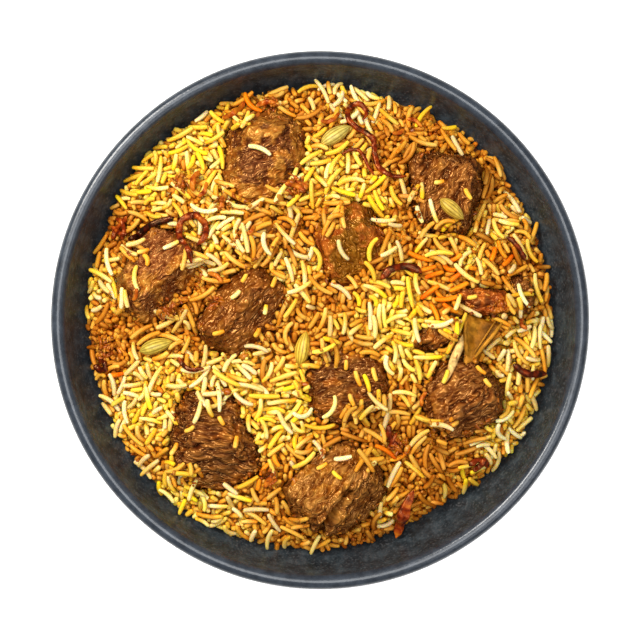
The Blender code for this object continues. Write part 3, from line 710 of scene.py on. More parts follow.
def cardamomPod(name, furrow, ridge, share):
    p = podShape
    given = pointsOf(nodes[name].data)
    centre = (given.min(0) + given.max(0)) / 2
    centre[2] -= (1 - share) * np.ptp(given[:, 2]) / 2
    axes = np.linalg.svd(given - given.mean(0), full_matrices=False)[2]
    ahead = axes[0] if axes[0][0] > 0 else -axes[0]
    side = np.cross((0, 0, 1), ahead)
    side /= np.linalg.norm(side)
    up = np.cross(ahead, side)
    reach = [np.abs((given - centre) @ v).max() * fit * share for v, fit in ((ahead, 1.0), (side, 0.88), (up, 0.94))]
    u = -np.cos(np.linspace(0, math.pi, p["rows"] + 2))[1:-1][:, None]
    turn = (math.tau * np.arange(p["sides"]) / p["sides"])[None, :]
    body = (1 - np.abs(u) ** 2.1) ** 0.72 * (1 - 0.12 * u)
    tipped = np.maximum(body, 0.1 * (np.abs(u) > 0.9))
    ribs = np.abs(np.sin(turn * p["ribs"] / 2 + 0.25 * np.sin(3 * u)))
    r = tipped * (1 + p["lobeDepth"] * np.cos(3 * turn + 0.6) + p["ribDepth"] * (ribs - 0.6) * (1 - u ** 4))
    points = centre + (ahead * (u * reach[0])[..., None] + side * (r * np.cos(turn) * reach[1])[..., None] * 0.97
                       + up * (r * np.sin(turn) * reach[2])[..., None] * 0.97)
    points = np.concatenate([points.reshape(-1, 3), [centre - ahead * reach[0], centre + ahead * reach[0]]])
    n, sides, rows = p["rows"] * p["sides"], p["sides"], p["rows"]
    faces = [(i * sides + j, i * sides + (j + 1) % sides, (i + 1) * sides + (j + 1) % sides, (i + 1) * sides + j)
             for i in range(rows - 1) for j in range(sides)]
    faces += [(n, (j + 1) % sides, j) for j in range(sides)]
    faces += [(n + 1, (rows - 1) * sides + j, (rows - 1) * sides + (j + 1) % sides) for j in range(sides)]
    piece = meshFrom("pod_" + name[-1], points, faces, podFinish("cardamomHusk" + name[-1], furrow, ridge))
    storeValues(piece.data, "rib", np.concatenate([(ribs * (1 - 0.4 * u ** 4)).ravel(), [0.2, 0.2]]))
    return finishPiece(closeUp(piece), "cardamom", name)


pods = {name: cardamomPod(name, *spec) for name, spec in podTones.items()}
print("bone and pods shaped")


# ---- the surface that the grains fall on

heap = dict(edge=115.0, crown=60.0, flatness=2.6, shoulder=0.62, wander=1.4, coreDepth=7.0, climb=0.7)
heapDents = ((300, 20, -6.0), (130, 22, 2.6), (265, 12, -1.5))    # degrees, width, how far out or in the edge goes
field = dict(cell=0.6, half=122.4)
fieldCount = int(round(2 * field["half"] / field["cell"])) + 1
fieldAxis = np.linspace(-field["half"], field["half"], fieldCount)
gridX, gridY = np.meshgrid(fieldAxis, fieldAxis, indexing="ij")
gridFlat = np.stack([gridX, gridY, 0 * gridX], axis=-1)


def heapEdge(angle):
    edge = heap["edge"] + heap["wander"] * noiseAt(np.stack([2.4 * np.cos(angle), 2.4 * np.sin(angle),
                                                             5 + 0 * angle], axis=-1), 1.0)
    for at, width, out in heapDents:
        away = (np.degrees(angle) - at + 180) % 360 - 180
        edge = edge + out * np.exp(-(away / width) ** 2)
    return edge


def heapHeight(x, y):
    edge = heapEdge(np.arctan2(y, x))
    share = np.clip(np.hypot(x, y) / edge, 0, 1)
    low = bowlInside(edge)
    dome = (1 - share ** heap["flatness"]) ** heap["shoulder"]
    flat = np.stack([x, y, 0 * x], axis=-1)
    bumps = noiseAt(flat, 19.0) + 0.5 * noiseAt(flat, 9.5, 1)
    return low + (heap["crown"] - low) * dome + 1.5 * bumps * np.minimum(1, dome * 2.5)


def spread(piece, upper, lower=None):    # raises one field to a piece's top and lowers another to its underside
    mesh = piece.data
    points = pointsOf(mesh)
    tree = BVHTree.FromPolygons([tuple(v) for v in points], [tuple(f.vertices) for f in mesh.polygons])
    first = np.searchsorted(fieldAxis, points[:, :2].min(0))
    last = np.searchsorted(fieldAxis, points[:, :2].max(0))
    for i, j in itertools.product(range(first[0], last[0]), range(first[1], last[1])):
        hit = tree.ray_cast(Vector((fieldAxis[i], fieldAxis[j], 200)), Vector((0, 0, -1)))[0]
        if hit and upper is not None:
            upper[i, j] = max(upper[i, j], hit.z)
        if hit and lower is not None:
            under = tree.ray_cast(Vector((fieldAxis[i], fieldAxis[j], 0)), Vector((0, 0, 1)))[0]
            lower[i, j] = min(lower[i, j], under.z - 0.5)


gridR = np.hypot(gridX, gridY)
target = heapHeight(gridX, gridY)
inHeap = gridR < heapEdge(np.arctan2(gridY, gridX)) - 0.5
bedTop = np.maximum(target - heap["coreDepth"], bowlInside(gridR) + 0.6)
surface = np.where(inHeap, bedTop, bowlInside(gridR))
surface = np.where(gridR > 121.5, 60.0, surface)
meatTop = np.full_like(surface, -1.0)
for piece in meat.values():
    spread(piece, meatTop, bedTop)
boneTop = np.full_like(surface, -1.0)
spread(shank, boneTop, bedTop)
surface = np.maximum(surface, np.maximum(meatTop, boneTop))
onMeat = meatTop > 0


def closeTo(mask):    # 1 inside, falling to 0 about 5 mm away
    near = np.zeros_like(surface)
    for dx, dy in itertools.product(range(-8, 9, 2), repeat=2):
        near = np.maximum(near, np.roll(mask, (dx, dy), axis=(0, 1)) * (1 - math.hypot(dx, dy) / 11.5))
    return near


byMeat = closeTo(onMeat)    # the rice climbs a little where it meets the meat
target += heap["climb"] * byMeat * (0.6 + noiseAt(gridFlat, 7.0, 14))
for name in ("cardamom_1", "cardamom_3", "cardamom_4"):    # rice fills up to the underside of these pods
    spread(pods[name], None, target)
print("field is ready")


# ---- grains of rice

grains = dict(length=10.9, spread=2.5, width=2.45, thick=2.2, segments=8, bitSegments=5, sides=7, bitSides=6,
              sink=0.35,
              flow=15.0, stray=0.45, blunt=0.14, tip=0.5)
palette = {    # colours of the grain's body and of its stained end
    "white": (("#EBD6A8", "#EAD29A", "#E8CC88"), ("#E8CC88", "#E4C264", "#EBD6A8")),
    "yellow": (("#EACB62", "#E9C248", "#EDD894", "#EFD032"), ("#E7C048", "#EDD690", "#E4B336")),
    "golden": (("#EABC5A", "#E4B046", "#ECC66E"), ("#DEA036", "#E6B852", "#D8942A")),
    "saffron": (("#F2A426", "#EC9018", "#F2B236"), ("#E4720E", "#F0A024", "#E8820E")),
    "masala": (("#D4983C", "#C68428", "#DCA44A"), ("#B4721C", "#CC8E34", "#A46412")),
    "yellowBit": (("#EECE66", "#EAC452", "#EFD88C"), ("#E6BC48", "#ECCE74", "#E2B038")),
    "goldenBit": (("#E8B450", "#E2A840", "#EABE62"), ("#D89A32", "#E2AE4C", "#D08E2A")),
    "amberBit": (("#D89A3C", "#CC8A2E", "#E0A84C"), ("#BE7A24", "#D08E32", "#AE6C1A")),
}
kinds = list(palette)
zones = [    # kind, x, y, reach in mm, strength
    ("white", -48, 42, 13, 3), ("white", -14, 26, 11, 3), ("white", 22, 108, 14, 2), ("white", 89, 46, 11, 2),
    ("white", 99, -10, 12, 3), ("white", 88, -52, 15, 4), ("white", 33, -91, 8, 3), ("white", -80, -34, 14, 5),
    ("white", -44, -30, 12, 5), ("white", -106, 14, 10, 3), ("white", -98, -50, 8, 2), ("white", -45, -98, 12, 1.5),
    ("white", 72, 28, 9, 2), ("white", 30, 0, 6, 2),
    ("yellow", -55, 82, 17, 3), ("yellow", 2, 74, 13, 3), ("yellow", 20, 62, 10, 4), ("yellow", 42, 8, 13, 5),
    ("yellow", 46, -12, 13, 5), ("yellow", -22, -46, 18, 2.5), ("yellow", -68, -88, 12, 2.5),
    ("yellow", -86, 68, 14, 3), ("yellow", -80, -44, 12, 2), ("yellow", -10, -30, 10, 2), ("yellow", 60, -78, 12, 1),
    ("saffron", 61, 17, 9, 14), ("saffron", 52, 7, 6, 5), ("saffron", -25, -77, 7, 3), ("saffron", -27, 106, 8, 2), ("saffron", 38, -62, 8, 2),
    ("saffron", -70, 55, 5, 1.5), ("saffron", 88, 30, 6, 2),
    ("masala", -19, 36, 11, 2), ("masala", 40, 88, 16, 0.9), ("masala", -102, -10, 12, 4), ("masala", 55, -92, 18, 3),
    ("masala", 6, 9, 8, 0.6), ("masala", 102, 30, 8, 2), ("masala", 12, -58, 8, 2), ("masala", 20, -108, 12, 3),
    ("masala", 76, 66, 14, 1.3), ("masala", -98, 46, 9, 3), ("masala", -66, 12, 8, 2), ("masala", 66, -62, 9, 2),
]
taste = dict(white=0.5, yellow=0.55, golden=1.0, saffron=0.04, masala=0.2)    # what grows where no zone reaches
mixing = dict(patch=7.0, patchiness=1.5, chance=0.45)

around = {kind: np.zeros_like(gridX) for kind in ("white", "yellow", "saffron", "masala")}
for kind, zx, zy, reach, strength in zones:
    around[kind] += strength * np.exp(-((gridX - zx) ** 2 + (gridY - zy) ** 2) / (reach * reach))
scores = {kind: np.log(share + around.get(kind, 0.0)) + mixing["patchiness"] * noiseAt(gridFlat, mixing["patch"], 30 + k)
          for k, (kind, share) in enumerate(taste.items())}
light = around["white"] + around["yellow"]
pale = np.clip(light / (light + around["masala"] + 0.6 * around["saffron"] + 0.7), 0, 1)
dusky = np.clip(around["masala"] / (around["masala"] + light + 0.8), 0, 1)


def kindAt(i, j):    # the kind with the best score, with some chance in it
    names = list(scores)
    luck = mixing["chance"] * rng.gumbel(size=len(names))
    return names[int(np.argmax([scores[name][i, j] + shake for name, shake in zip(names, luck)]))]


def cellOf(value):
    return np.clip(np.rint((value + field["half"]) / field["cell"]).astype(int), 0, fieldCount - 1)


def girth(u):    # share of the full width along a grain, u from -1 to 1
    return np.maximum(grains["tip"], (1 - u * u) ** grains["blunt"])


u9 = np.linspace(-0.96, 0.96, 9)
u25 = np.linspace(-0.98, 0.98, 25)


def footprint(g, u, steps):    # the grain is an arc that turns by twice its curl
    half = g["length"] / 2
    along = half * np.sin(g["curl"] * u) / g["curl"]
    side = half * ((1 - np.cos(g["curl"] * u)) / g["curl"] - g["curl"] / 6)
    c, s = math.cos(g["yaw"]), math.sin(g["yaw"])
    wide = g["width"] / 2 * girth(u)
    off = wide[:, None] * steps[None, :]
    lift = np.sqrt(np.maximum(wide[:, None] ** 2 - off ** 2, 0)) * g["thick"] / g["width"]
    x = g["x"] + (along * c)[:, None] - (side[:, None] + off) * s
    y = g["y"] + (along * s)[:, None] + (side[:, None] + off) * c
    return along, x, y, lift


def rest(g):    # height and slope at which a grain comes to lie on the surface
    along, x, y, lift = footprint(g, u9, np.array([-0.7, 0.0, 0.7]))
    need = (surface[cellOf(x), cellOf(y)] + lift).max(axis=1)
    left, right = along[:4], along[5:]
    level = (need[:4, None] * right[None, :] - need[None, 5:] * left[:, None]) / (right[None, :] - left[:, None])
    i, j = np.unravel_index(np.argmax(level), level.shape)
    slope = (need[5 + j] - need[i]) / (right[j] - left[i])
    return max(level[i, j], need[4]) - grains["sink"], slope


def drop(g, height, slope):
    along, x, y, lift = footprint(g, u25, np.linspace(-0.9, 0.9, 5))
    np.maximum.at(surface, (cellOf(x), cellOf(y)), height + slope * along[:, None] + lift)
    g["z"] = height
    g["pitch"] = math.atan(slope)
    return g


def newGrain(x, y, kind, **given):
    bit = kind.endswith("Bit")
    length = rng.uniform(3.6, 6.4) if bit else rng.normal(grains["length"], grains["spread"])
    scale = rng.uniform(0.93, 1.08) * (1.06 if bit else 1.0)
    curl = abs(rng.normal(0, 0.26)) + (0.45 if rng.random() < 0.1 else 0.04)
    g = dict(x=x, y=y, kind=kind, length=float(np.clip(length, 3.6, 15.0)), width=grains["width"] * scale,
             thick=grains["thick"] * scale, roll=rng.normal(0, 0.25),
             curl=float(min(curl, 1.15)) * rng.choice((-1, 1)) * (0.4 if bit else 1.0))
    g.update(given)
    return g


covers = [    # places where rice lies over the meat: x, y, reach
    (-32, 39, 12), (4, 50, 7), (30, -42, 6), (16, -47, 5), (61, -1, 6), (-52, -36, 6), (-60, 28, 5), (-18, -16, 5),
    (-66, -76, 8), (56, -52, 6), (94, 7, 4), (24, -66, 5), (-38, 98, 5), (60, 44, 5), (-90, 34, 5), (-8, 62, 4),
    (44, 62, 5), (-45, 60, 5), (-98, 8, 5), (-10, -100, 5), (36, 50, 5), (-75, -48, 4),
]


def overClear(g):    # share of a grain that would hide meat, bone or pod
    along, x, y, lift = footprint(g, u9, np.zeros(1))
    return float(keepClear[cellOf(x), cellOf(y)].mean())


def fillHeap(level, where, chooseKind, limit):
    inside = np.argwhere(inHeap & where & (surface < level))
    flow = noiseAt(gridFlat, grains["flow"], 11) * 2.2 * math.pi
    made = []
    misses = 0
    while len(made) < limit and misses < 2600:
        picks = inside[rng.integers(0, len(inside), 28)]
        gaps = level[picks[:, 0], picks[:, 1]] - surface[picks[:, 0], picks[:, 1]]
        i, j = picks[int(np.argmax(gaps))]
        if gaps.max() < 0.7:
            misses += 1
            continue
        x, y = fieldAxis[i] + rng.uniform(-0.5, 0.5), fieldAxis[j] + rng.uniform(-0.5, 0.5)
        best = None
        shape = newGrain(x, y, chooseKind(i, j))
        stray = rng.random() < grains["stray"]
        for k in range(7):
            g = dict(shape, yaw=rng.uniform(0, math.tau) if stray else flow[i, j] + rng.normal(0, 0.5))
            if nearClear[i, j] > 0 and k:
                g.update(x=x + rng.normal(0, 1.6), y=y + rng.normal(0, 1.6), yaw=rng.uniform(0, math.tau))
            height, slope = rest(g)
            if abs(slope) > 1.1:
                continue
            tip = height + abs(slope) * g["length"] / 2
            cost = height - level[i, j] + 0.25 * max(0.0, tip - level[i, j] - 3)
            over = 8.0 * overClear(g)
            if best is None or cost + over < best[0]:
                best = (cost + over, cost, g, height, slope)
            if k > 3 and best[0] < 2.5:
                break
        if best is None or best[1] > 2.5:
            misses += 1
            continue
        g = drop(*best[2:])
        g["deep"] = target[i, j] - g["z"]
        g["pale"] = pale[i, j]
        made.append(g)
    return made


def bitKindAt(i, j):
    if rng.random() < 0.14 + 0.7 * dusky[i, j] - 0.15 * pale[i, j]:
        return "amberBit"
    return "yellowBit" if rng.random() < 1.3 * pale[i, j] - 0.2 else "goldenBit"


def grainTree():    # one grain is drawn from the sizes, put on every point and bent by that point's own values
    tree = bpy.data.node_groups.new("looseGrains", "GeometryNodeTree")
    groupInput(tree, "Geometry", "NodeSocketGeometry")
    ids = {"Segments": groupInput(tree, "Segments", "NodeSocketInt", 7),
           "Sides": groupInput(tree, "Sides", "NodeSocketInt", 8),
           "Blunt": groupInput(tree, "Blunt", "NodeSocketFloat", 0.2),
           "Tip": groupInput(tree, "Tip", "NodeSocketFloat", 0.4),
           "Finish": groupInput(tree, "Finish", "NodeSocketMaterial")}
    tree.interface.new_socket("Geometry", in_out="OUTPUT", socket_type="NodeSocketGeometry")
    given = addNode(tree, "NodeGroupInput")

    def maths(operation, first, second=0.0):
        return addNode(tree, "ShaderNodeMath", {0: first, 1: second}, operation=operation).outputs[0]

    def named(name, kind):
        return addNode(tree, "GeometryNodeInputNamedAttribute", {"Name": name}, data_type=kind).outputs[0]

    def stored(geometry, name, value, domain="POINT"):
        return addNode(tree, "GeometryNodeStoreNamedAttribute", {"Geometry": geometry, "Name": name, "Value": value},
                       data_type="FLOAT", domain=domain).outputs[0]

    count = maths("ADD", given.outputs["Segments"], 1.0)
    line = addNode(tree, "GeometryNodeCurvePrimitiveLine", {"Start": (-1, 0, 0), "End": (1, 0, 0)})
    line = addNode(tree, "GeometryNodeResampleCurve", {"Curve": line.outputs[0], "Count": count})
    swing = maths("MULTIPLY", addNode(tree, "GeometryNodeSplineParameter").outputs["Factor"], math.pi)
    line = stored(line.outputs[0], "along", maths("MULTIPLY", maths("COSINE", swing), -1.0))
    u = named("along", "FLOAT")
    width = maths("POWER", maths("SUBTRACT", 1.0, maths("MULTIPLY", u, u)), given.outputs["Blunt"])
    width = maths("MAXIMUM", width, given.outputs["Tip"])
    width = maths("MULTIPLY", width, maths("SUBTRACT", 1.0, maths("MULTIPLY", u, 0.06)))
    place = addNode(tree, "ShaderNodeCombineXYZ", {"X": u})
    line = addNode(tree, "GeometryNodeSetPosition", {"Geometry": line, "Position": place.outputs[0]})
    line = addNode(tree, "GeometryNodeSetCurveRadius", {"Curve": line.outputs[0], "Radius": width})
    ring = addNode(tree, "GeometryNodeCurvePrimitiveCircle", {"Resolution": given.outputs["Sides"], "Radius": 1.0})
    grain = addNode(tree, "GeometryNodeCurveToMesh", {"Curve": line.outputs[0], "Profile Curve": ring.outputs[0],
                                                      "Fill Caps": True})
    if "Scale" in grain.inputs:    # newer releases take the radius through this input
        tree.links.new(addNode(tree, "GeometryNodeInputRadius").outputs[0], grain.inputs["Scale"])
    spot = addNode(tree, "ShaderNodeSeparateXYZ", {0: addNode(tree, "GeometryNodeInputPosition").outputs[0]})
    grain = stored(grain.outputs[0], "aside", spot.outputs["Y"])
    turn = addNode(tree, "FunctionNodeEulerToRotation", {0: named("turn", "FLOAT_VECTOR")}).outputs[0]
    many = addNode(tree, "GeometryNodeInstanceOnPoints", {"Points": given.outputs["Geometry"], "Instance": grain,
                                                          "Rotation": turn, "Scale": named("size", "FLOAT_VECTOR")})
    real = addNode(tree, "GeometryNodeRealizeInstances", {"Geometry": many.outputs[0]})
    size = addNode(tree, "ShaderNodeSeparateXYZ", {0: named("size", "FLOAT_VECTOR")})
    half, wide = size.outputs["X"], maths("MULTIPLY", named("aside", "FLOAT"), size.outputs["Y"])
    u, curl = named("along", "FLOAT"), named("curl", "FLOAT")
    angle = maths("MULTIPLY", u, curl)
    sine, cosine = maths("SINE", angle), maths("COSINE", angle)
    forward = maths("SUBTRACT", maths("DIVIDE", sine, curl), u)
    forward = maths("SUBTRACT", maths("MULTIPLY", forward, half), maths("MULTIPLY", wide, sine))
    aside = maths("SUBTRACT", maths("DIVIDE", maths("SUBTRACT", 1.0, cosine), curl), maths("DIVIDE", curl, 6.0))
    aside = maths("SUBTRACT", maths("MULTIPLY", aside, half), maths("MULTIPLY", wide, maths("SUBTRACT", 1.0, cosine)))
    bend = addNode(tree, "ShaderNodeCombineXYZ", {"X": forward, "Y": aside})
    turned = addNode(tree, "FunctionNodeRotateVector", {"Vector": bend.outputs[0], "Rotation": turn})
    bent = addNode(tree, "GeometryNodeSetPosition", {"Geometry": real.outputs[0], "Offset": turned.outputs[0]})
    smooth = addNode(tree, "GeometryNodeSetShadeSmooth", {"Geometry": bent.outputs[0]})
    dressed = addNode(tree, "GeometryNodeSetMaterial", {"Geometry": smooth.outputs[0],
                                                        "Material": given.outputs["Finish"]})
    addNode(tree, "NodeGroupOutput", {"Geometry": dressed.outputs[0]})
    return tree, ids


def riceFinish(name, dull, glow, sides):    # cooked basmati: moist satin skin, amber where the oil has run down; the sides of each grain are tinted darker and warmer as painted shade
    material, tree, shader = newMaterial(name)
    place = addNode(tree, "ShaderNodeTexCoord").outputs["Object"]
    body = addNode(tree, "ShaderNodeAttribute", attribute_name="tint").outputs["Color"]
    tip = addNode(tree, "ShaderNodeAttribute", attribute_name="tipTint").outputs["Color"]
    along = addNode(tree, "ShaderNodeAttribute", attribute_name="along").outputs["Fac"]
    stain = addNode(tree, "ShaderNodeTexNoise", {"Vector": place, "Scale": 260.0, "Detail": 2.0})    # 4 mm stains
    grit = addNode(tree, "ShaderNodeTexNoise", {"Vector": place, "Scale": 1300.0, "Detail": 2.0})
    reach = addNode(tree, "ShaderNodeMath", {0: along, 1: stain.outputs["Fac"]}, operation="ADD")
    reach = addNode(tree, "ShaderNodeMapRange", {"Value": reach.outputs[0], "From Min": 0.0, "From Max": 1.2})
    colour = blend(tree, reach.outputs[0], body, tip)
    shade = ramp(tree, grit.outputs["Fac"], [(0.26, 0.7), (0.36, 0.97), (0.7, 1.0)])
    colour = blend(tree, 1.0, colour, shade, "MULTIPLY")
    # painted shade: where the grain's normal turns away from straight up, its colour is multiplied by the kind's side
    # factor
    upward = addNode(tree, "ShaderNodeSeparateXYZ", {0: addNode(tree, "ShaderNodeTexCoord").outputs["Normal"]})
    upper = addNode(tree, "ShaderNodeMapRange", {"Value": upward.outputs["Z"], "From Min": 0.0, "From Max": 0.85})
    colour = blend(tree, upper.outputs[0], blend(tree, 1.0, colour, (*sides, 1.0), "MULTIPLY"), colour)
    tree.links.new(colour, shader.inputs["Base Color"])
    shader.inputs["Roughness"].default_value = dull
    shader.inputs["Specular IOR Level"].default_value = 0.28
    shader.inputs["Subsurface Weight"].default_value = glow
    shader.inputs["Subsurface Radius"].default_value = (1.0, 0.7, 0.25)
    shader.inputs["Subsurface Scale"].default_value = 0.002
    shader.inputs["Specular Tint"].default_value = linear("#FFE6AC")
    bump = addNode(tree, "ShaderNodeBump", {"Height": grit.outputs["Fac"], "Strength": 0.2, "Distance": 0.0002})
    tree.links.new(bump.outputs[0], shader.inputs["Normal"])
    return material


grainMaker, grainInputs = grainTree()
grainLooks = {    # roughness, glow and what the sides keep of the colour, a painted shade
    "white": (0.44, 0.75, (0.98, 0.94, 0.68)), "yellow": (0.42, 0.7, (0.98, 0.91, 0.50)),
    "golden": (0.40, 0.5, (0.98, 0.82, 0.38)), "saffron": (0.40, 0.5, (0.98, 0.68, 0.34)),
    "masala": (0.36, 0.25, (0.86, 0.60, 0.28)), "yellowBit": (0.42, 0.7, (1.0, 0.90, 0.46)),
    "goldenBit": (0.38, 0.45, (1.0, 0.78, 0.34)), "amberBit": (0.35, 0.28, (0.90, 0.60, 0.24)),
}
depthSoakAndShade = np.array([(0.84, 0.52, 0.18), (1.0, 0.95, 0.62)])    # left of a deep grain's colour, in dark and pale rice: partly gravy soak, partly painted shade of the lower layers
soakedBy = np.array([(0.9, 0.85, 0.75), (1.15, 1.16, 1.13)])    # and of any grain's colour there


def growGrains(kind, laid):
    mesh = bpy.data.meshes.new(kind + "Points")
    mesh.from_pydata([(g["x"] * mm, g["y"] * mm, g["z"] * mm) for g in laid], [], [])
    body, ends = palette[kind]
    storeValues(mesh, "turn", [(g["roll"], -g["pitch"], g["yaw"]) for g in laid])
    storeValues(mesh, "size", [(g["length"] / 2 * mm, g["width"] / 2 * mm, g["thick"] / 2 * mm) for g in laid])
    storeValues(mesh, "curl", [g["curl"] for g in laid])
    shade = rng.normal(1.0, 0.05, (len(laid), 1))
    # deeper grains get darker and browner: partly gravy soak, partly painted shade under the grains above
    soakAndShade = smoothStep(0.8, 4.5, np.array([g["deep"] for g in laid]))[:, None]
    near = np.array([g["pale"] for g in laid])[:, None]
    shade = shade * (1 - soakAndShade + soakAndShade * (depthSoakAndShade[0] + near * (depthSoakAndShade[1] - depthSoakAndShade[0])))
    shade = shade * (soakedBy[0] + near * (soakedBy[1] - soakedBy[0]))
    shade = np.concatenate([shade, np.ones((len(laid), 1))], axis=1)
    tints = np.array([linear(body[i]) for i in rng.integers(0, len(body), len(laid))])
    tips = np.array([linear(ends[i]) for i in rng.integers(0, len(ends), len(laid))])
    storeValues(mesh, "tint", np.clip(tints * shade, 0, 1))
    storeValues(mesh, "tipTint", np.clip(tips * shade, 0, 1))
    piece = bpy.data.objects.new(kind + "Points", mesh)
    bpy.context.scene.collection.objects.link(piece)
    growing = piece.modifiers.new("growing", "NODES")
    growing.node_group = grainMaker
    short = kind.endswith("Bit")
    growing[grainInputs["Segments"]] = grains["bitSegments"] if short else grains["segments"]
    growing[grainInputs["Blunt"]] = grains["blunt"]
    growing[grainInputs["Tip"]] = grains["tip"]
    growing[grainInputs["Sides"]] = grains["bitSides"] if short else grains["sides"]
    growing[grainInputs["Finish"]] = riceFinish(kind + "Basmati", *grainLooks[kind])
    return settled(piece, kind + "Rice")


keepClear = onMeat | (boneTop > 0)
for x, y, reach in covers:
    away = np.hypot(gridX - x, gridY - y) + 3.0 * noiseAt(gridFlat, 6.0, 13)
    target = np.where((away < reach) & onMeat, np.maximum(target, surface + 2.2), target)
    keepClear &= away > reach + 1.5
nearClear = closeTo(keepClear)

# short grains and grain ends make the ground, then long ones come to lie over it in patches
loose = dict(under=1.5, paler=-0.3, duskier=0.7, base=0.40, light=0.75, dusk=0.62, patch=9.0, standing=3000, fringe=230)
laid = fillHeap(target - loose["under"] - loose["paler"] * pale - loose["duskier"] * dusky, True, bitKindAt, 6000)
print("short grains", len(laid))
for name in ("cardamom_1", "cardamom_3", "cardamom_4"):
    before = surface.copy()
    spread(pods[name], surface)
    keepClear |= surface > before
nearClear = closeTo(keepClear)


def standUp(count):    # grains that point up out of the heap, of which only the end shows
    inside = np.argwhere(inHeap & (surface < target - 0.3))
    for i, j in inside[rng.integers(0, len(inside), count)]:
        x, y = fieldAxis[i], fieldAxis[j]
        if rng.random() > 0.45 + 0.4 * dusky[i, j] - 0.4 * pale[i, j]:
            continue
        g = newGrain(x, y, bitKindAt(i, j), yaw=rng.uniform(0, math.tau), pale=pale[i, j])
        g["pitch"] = rng.uniform(0.6, 1.35)
        near = (slice(i - 1, i + 2), slice(j - 1, j + 2))
        top = min(float(surface[near].max()) + rng.uniform(0.3, 1.3), float(target[i, j]) + 0.4)
        reach = g["length"] / 2
        g["x"] = x - reach * math.cos(g["pitch"]) * math.cos(g["yaw"])
        g["y"] = y - reach * math.cos(g["pitch"]) * math.sin(g["yaw"])
        g["z"] = top - reach * math.sin(g["pitch"])
        g["deep"] = max(0.0, target[i, j] - top)
        dab = (slice(i - 2, i + 3), slice(j - 2, j + 3))
        surface[dab] = np.maximum(surface[dab], top - 0.4)
        laid.append(g)


standUp(loose["standing"])
print("with the ones that stand up", len(laid))
strewn = loose["base"] + loose["light"] * np.minimum(1, light + around["saffron"])
strewn = strewn - loose["dusk"] * dusky + 0.9 * noiseAt(gridFlat, loose["patch"], 15) + 0.2 * rng.random(gridX.shape)
laid += fillHeap(target + 0.5, strewn > 0.42, kindAt, 3000)
laid += fillHeap(target - 0.2, pale > 0.55, lambda i, j: "yellowBit", 900)    # the pale rice lies close


def fringe(count):    # grains that lean out over the wall of the bowl
    for angle in rng.uniform(0, math.tau, count):
        g = newGrain(0, 0, "white", yaw=angle + rng.normal(0, 0.55))
        out = min(float(heapEdge(np.array(angle))) + rng.uniform(-0.5, 4.0), 119.5)
        radius = out - g["length"] / 2 * abs(math.cos(g["yaw"] - angle))
        g["x"], g["y"] = radius * math.cos(angle), radius * math.sin(angle)
        cell = cellOf(g["x"]), cellOf(g["y"])
        height, slope = rest(g)
        if onMeat[cell] or abs(slope) > 1.0 or height > target[cell] + 3.0:
            continue
        g.update(kind=kindAt(*cell), deep=0.5, pale=pale[cell])
        laid.append(drop(g, height, slope))


fringe(loose["fringe"])
print("with the long ones on top", len(laid))


# ---- grains laid one by one on the meat and the most curved ones on top

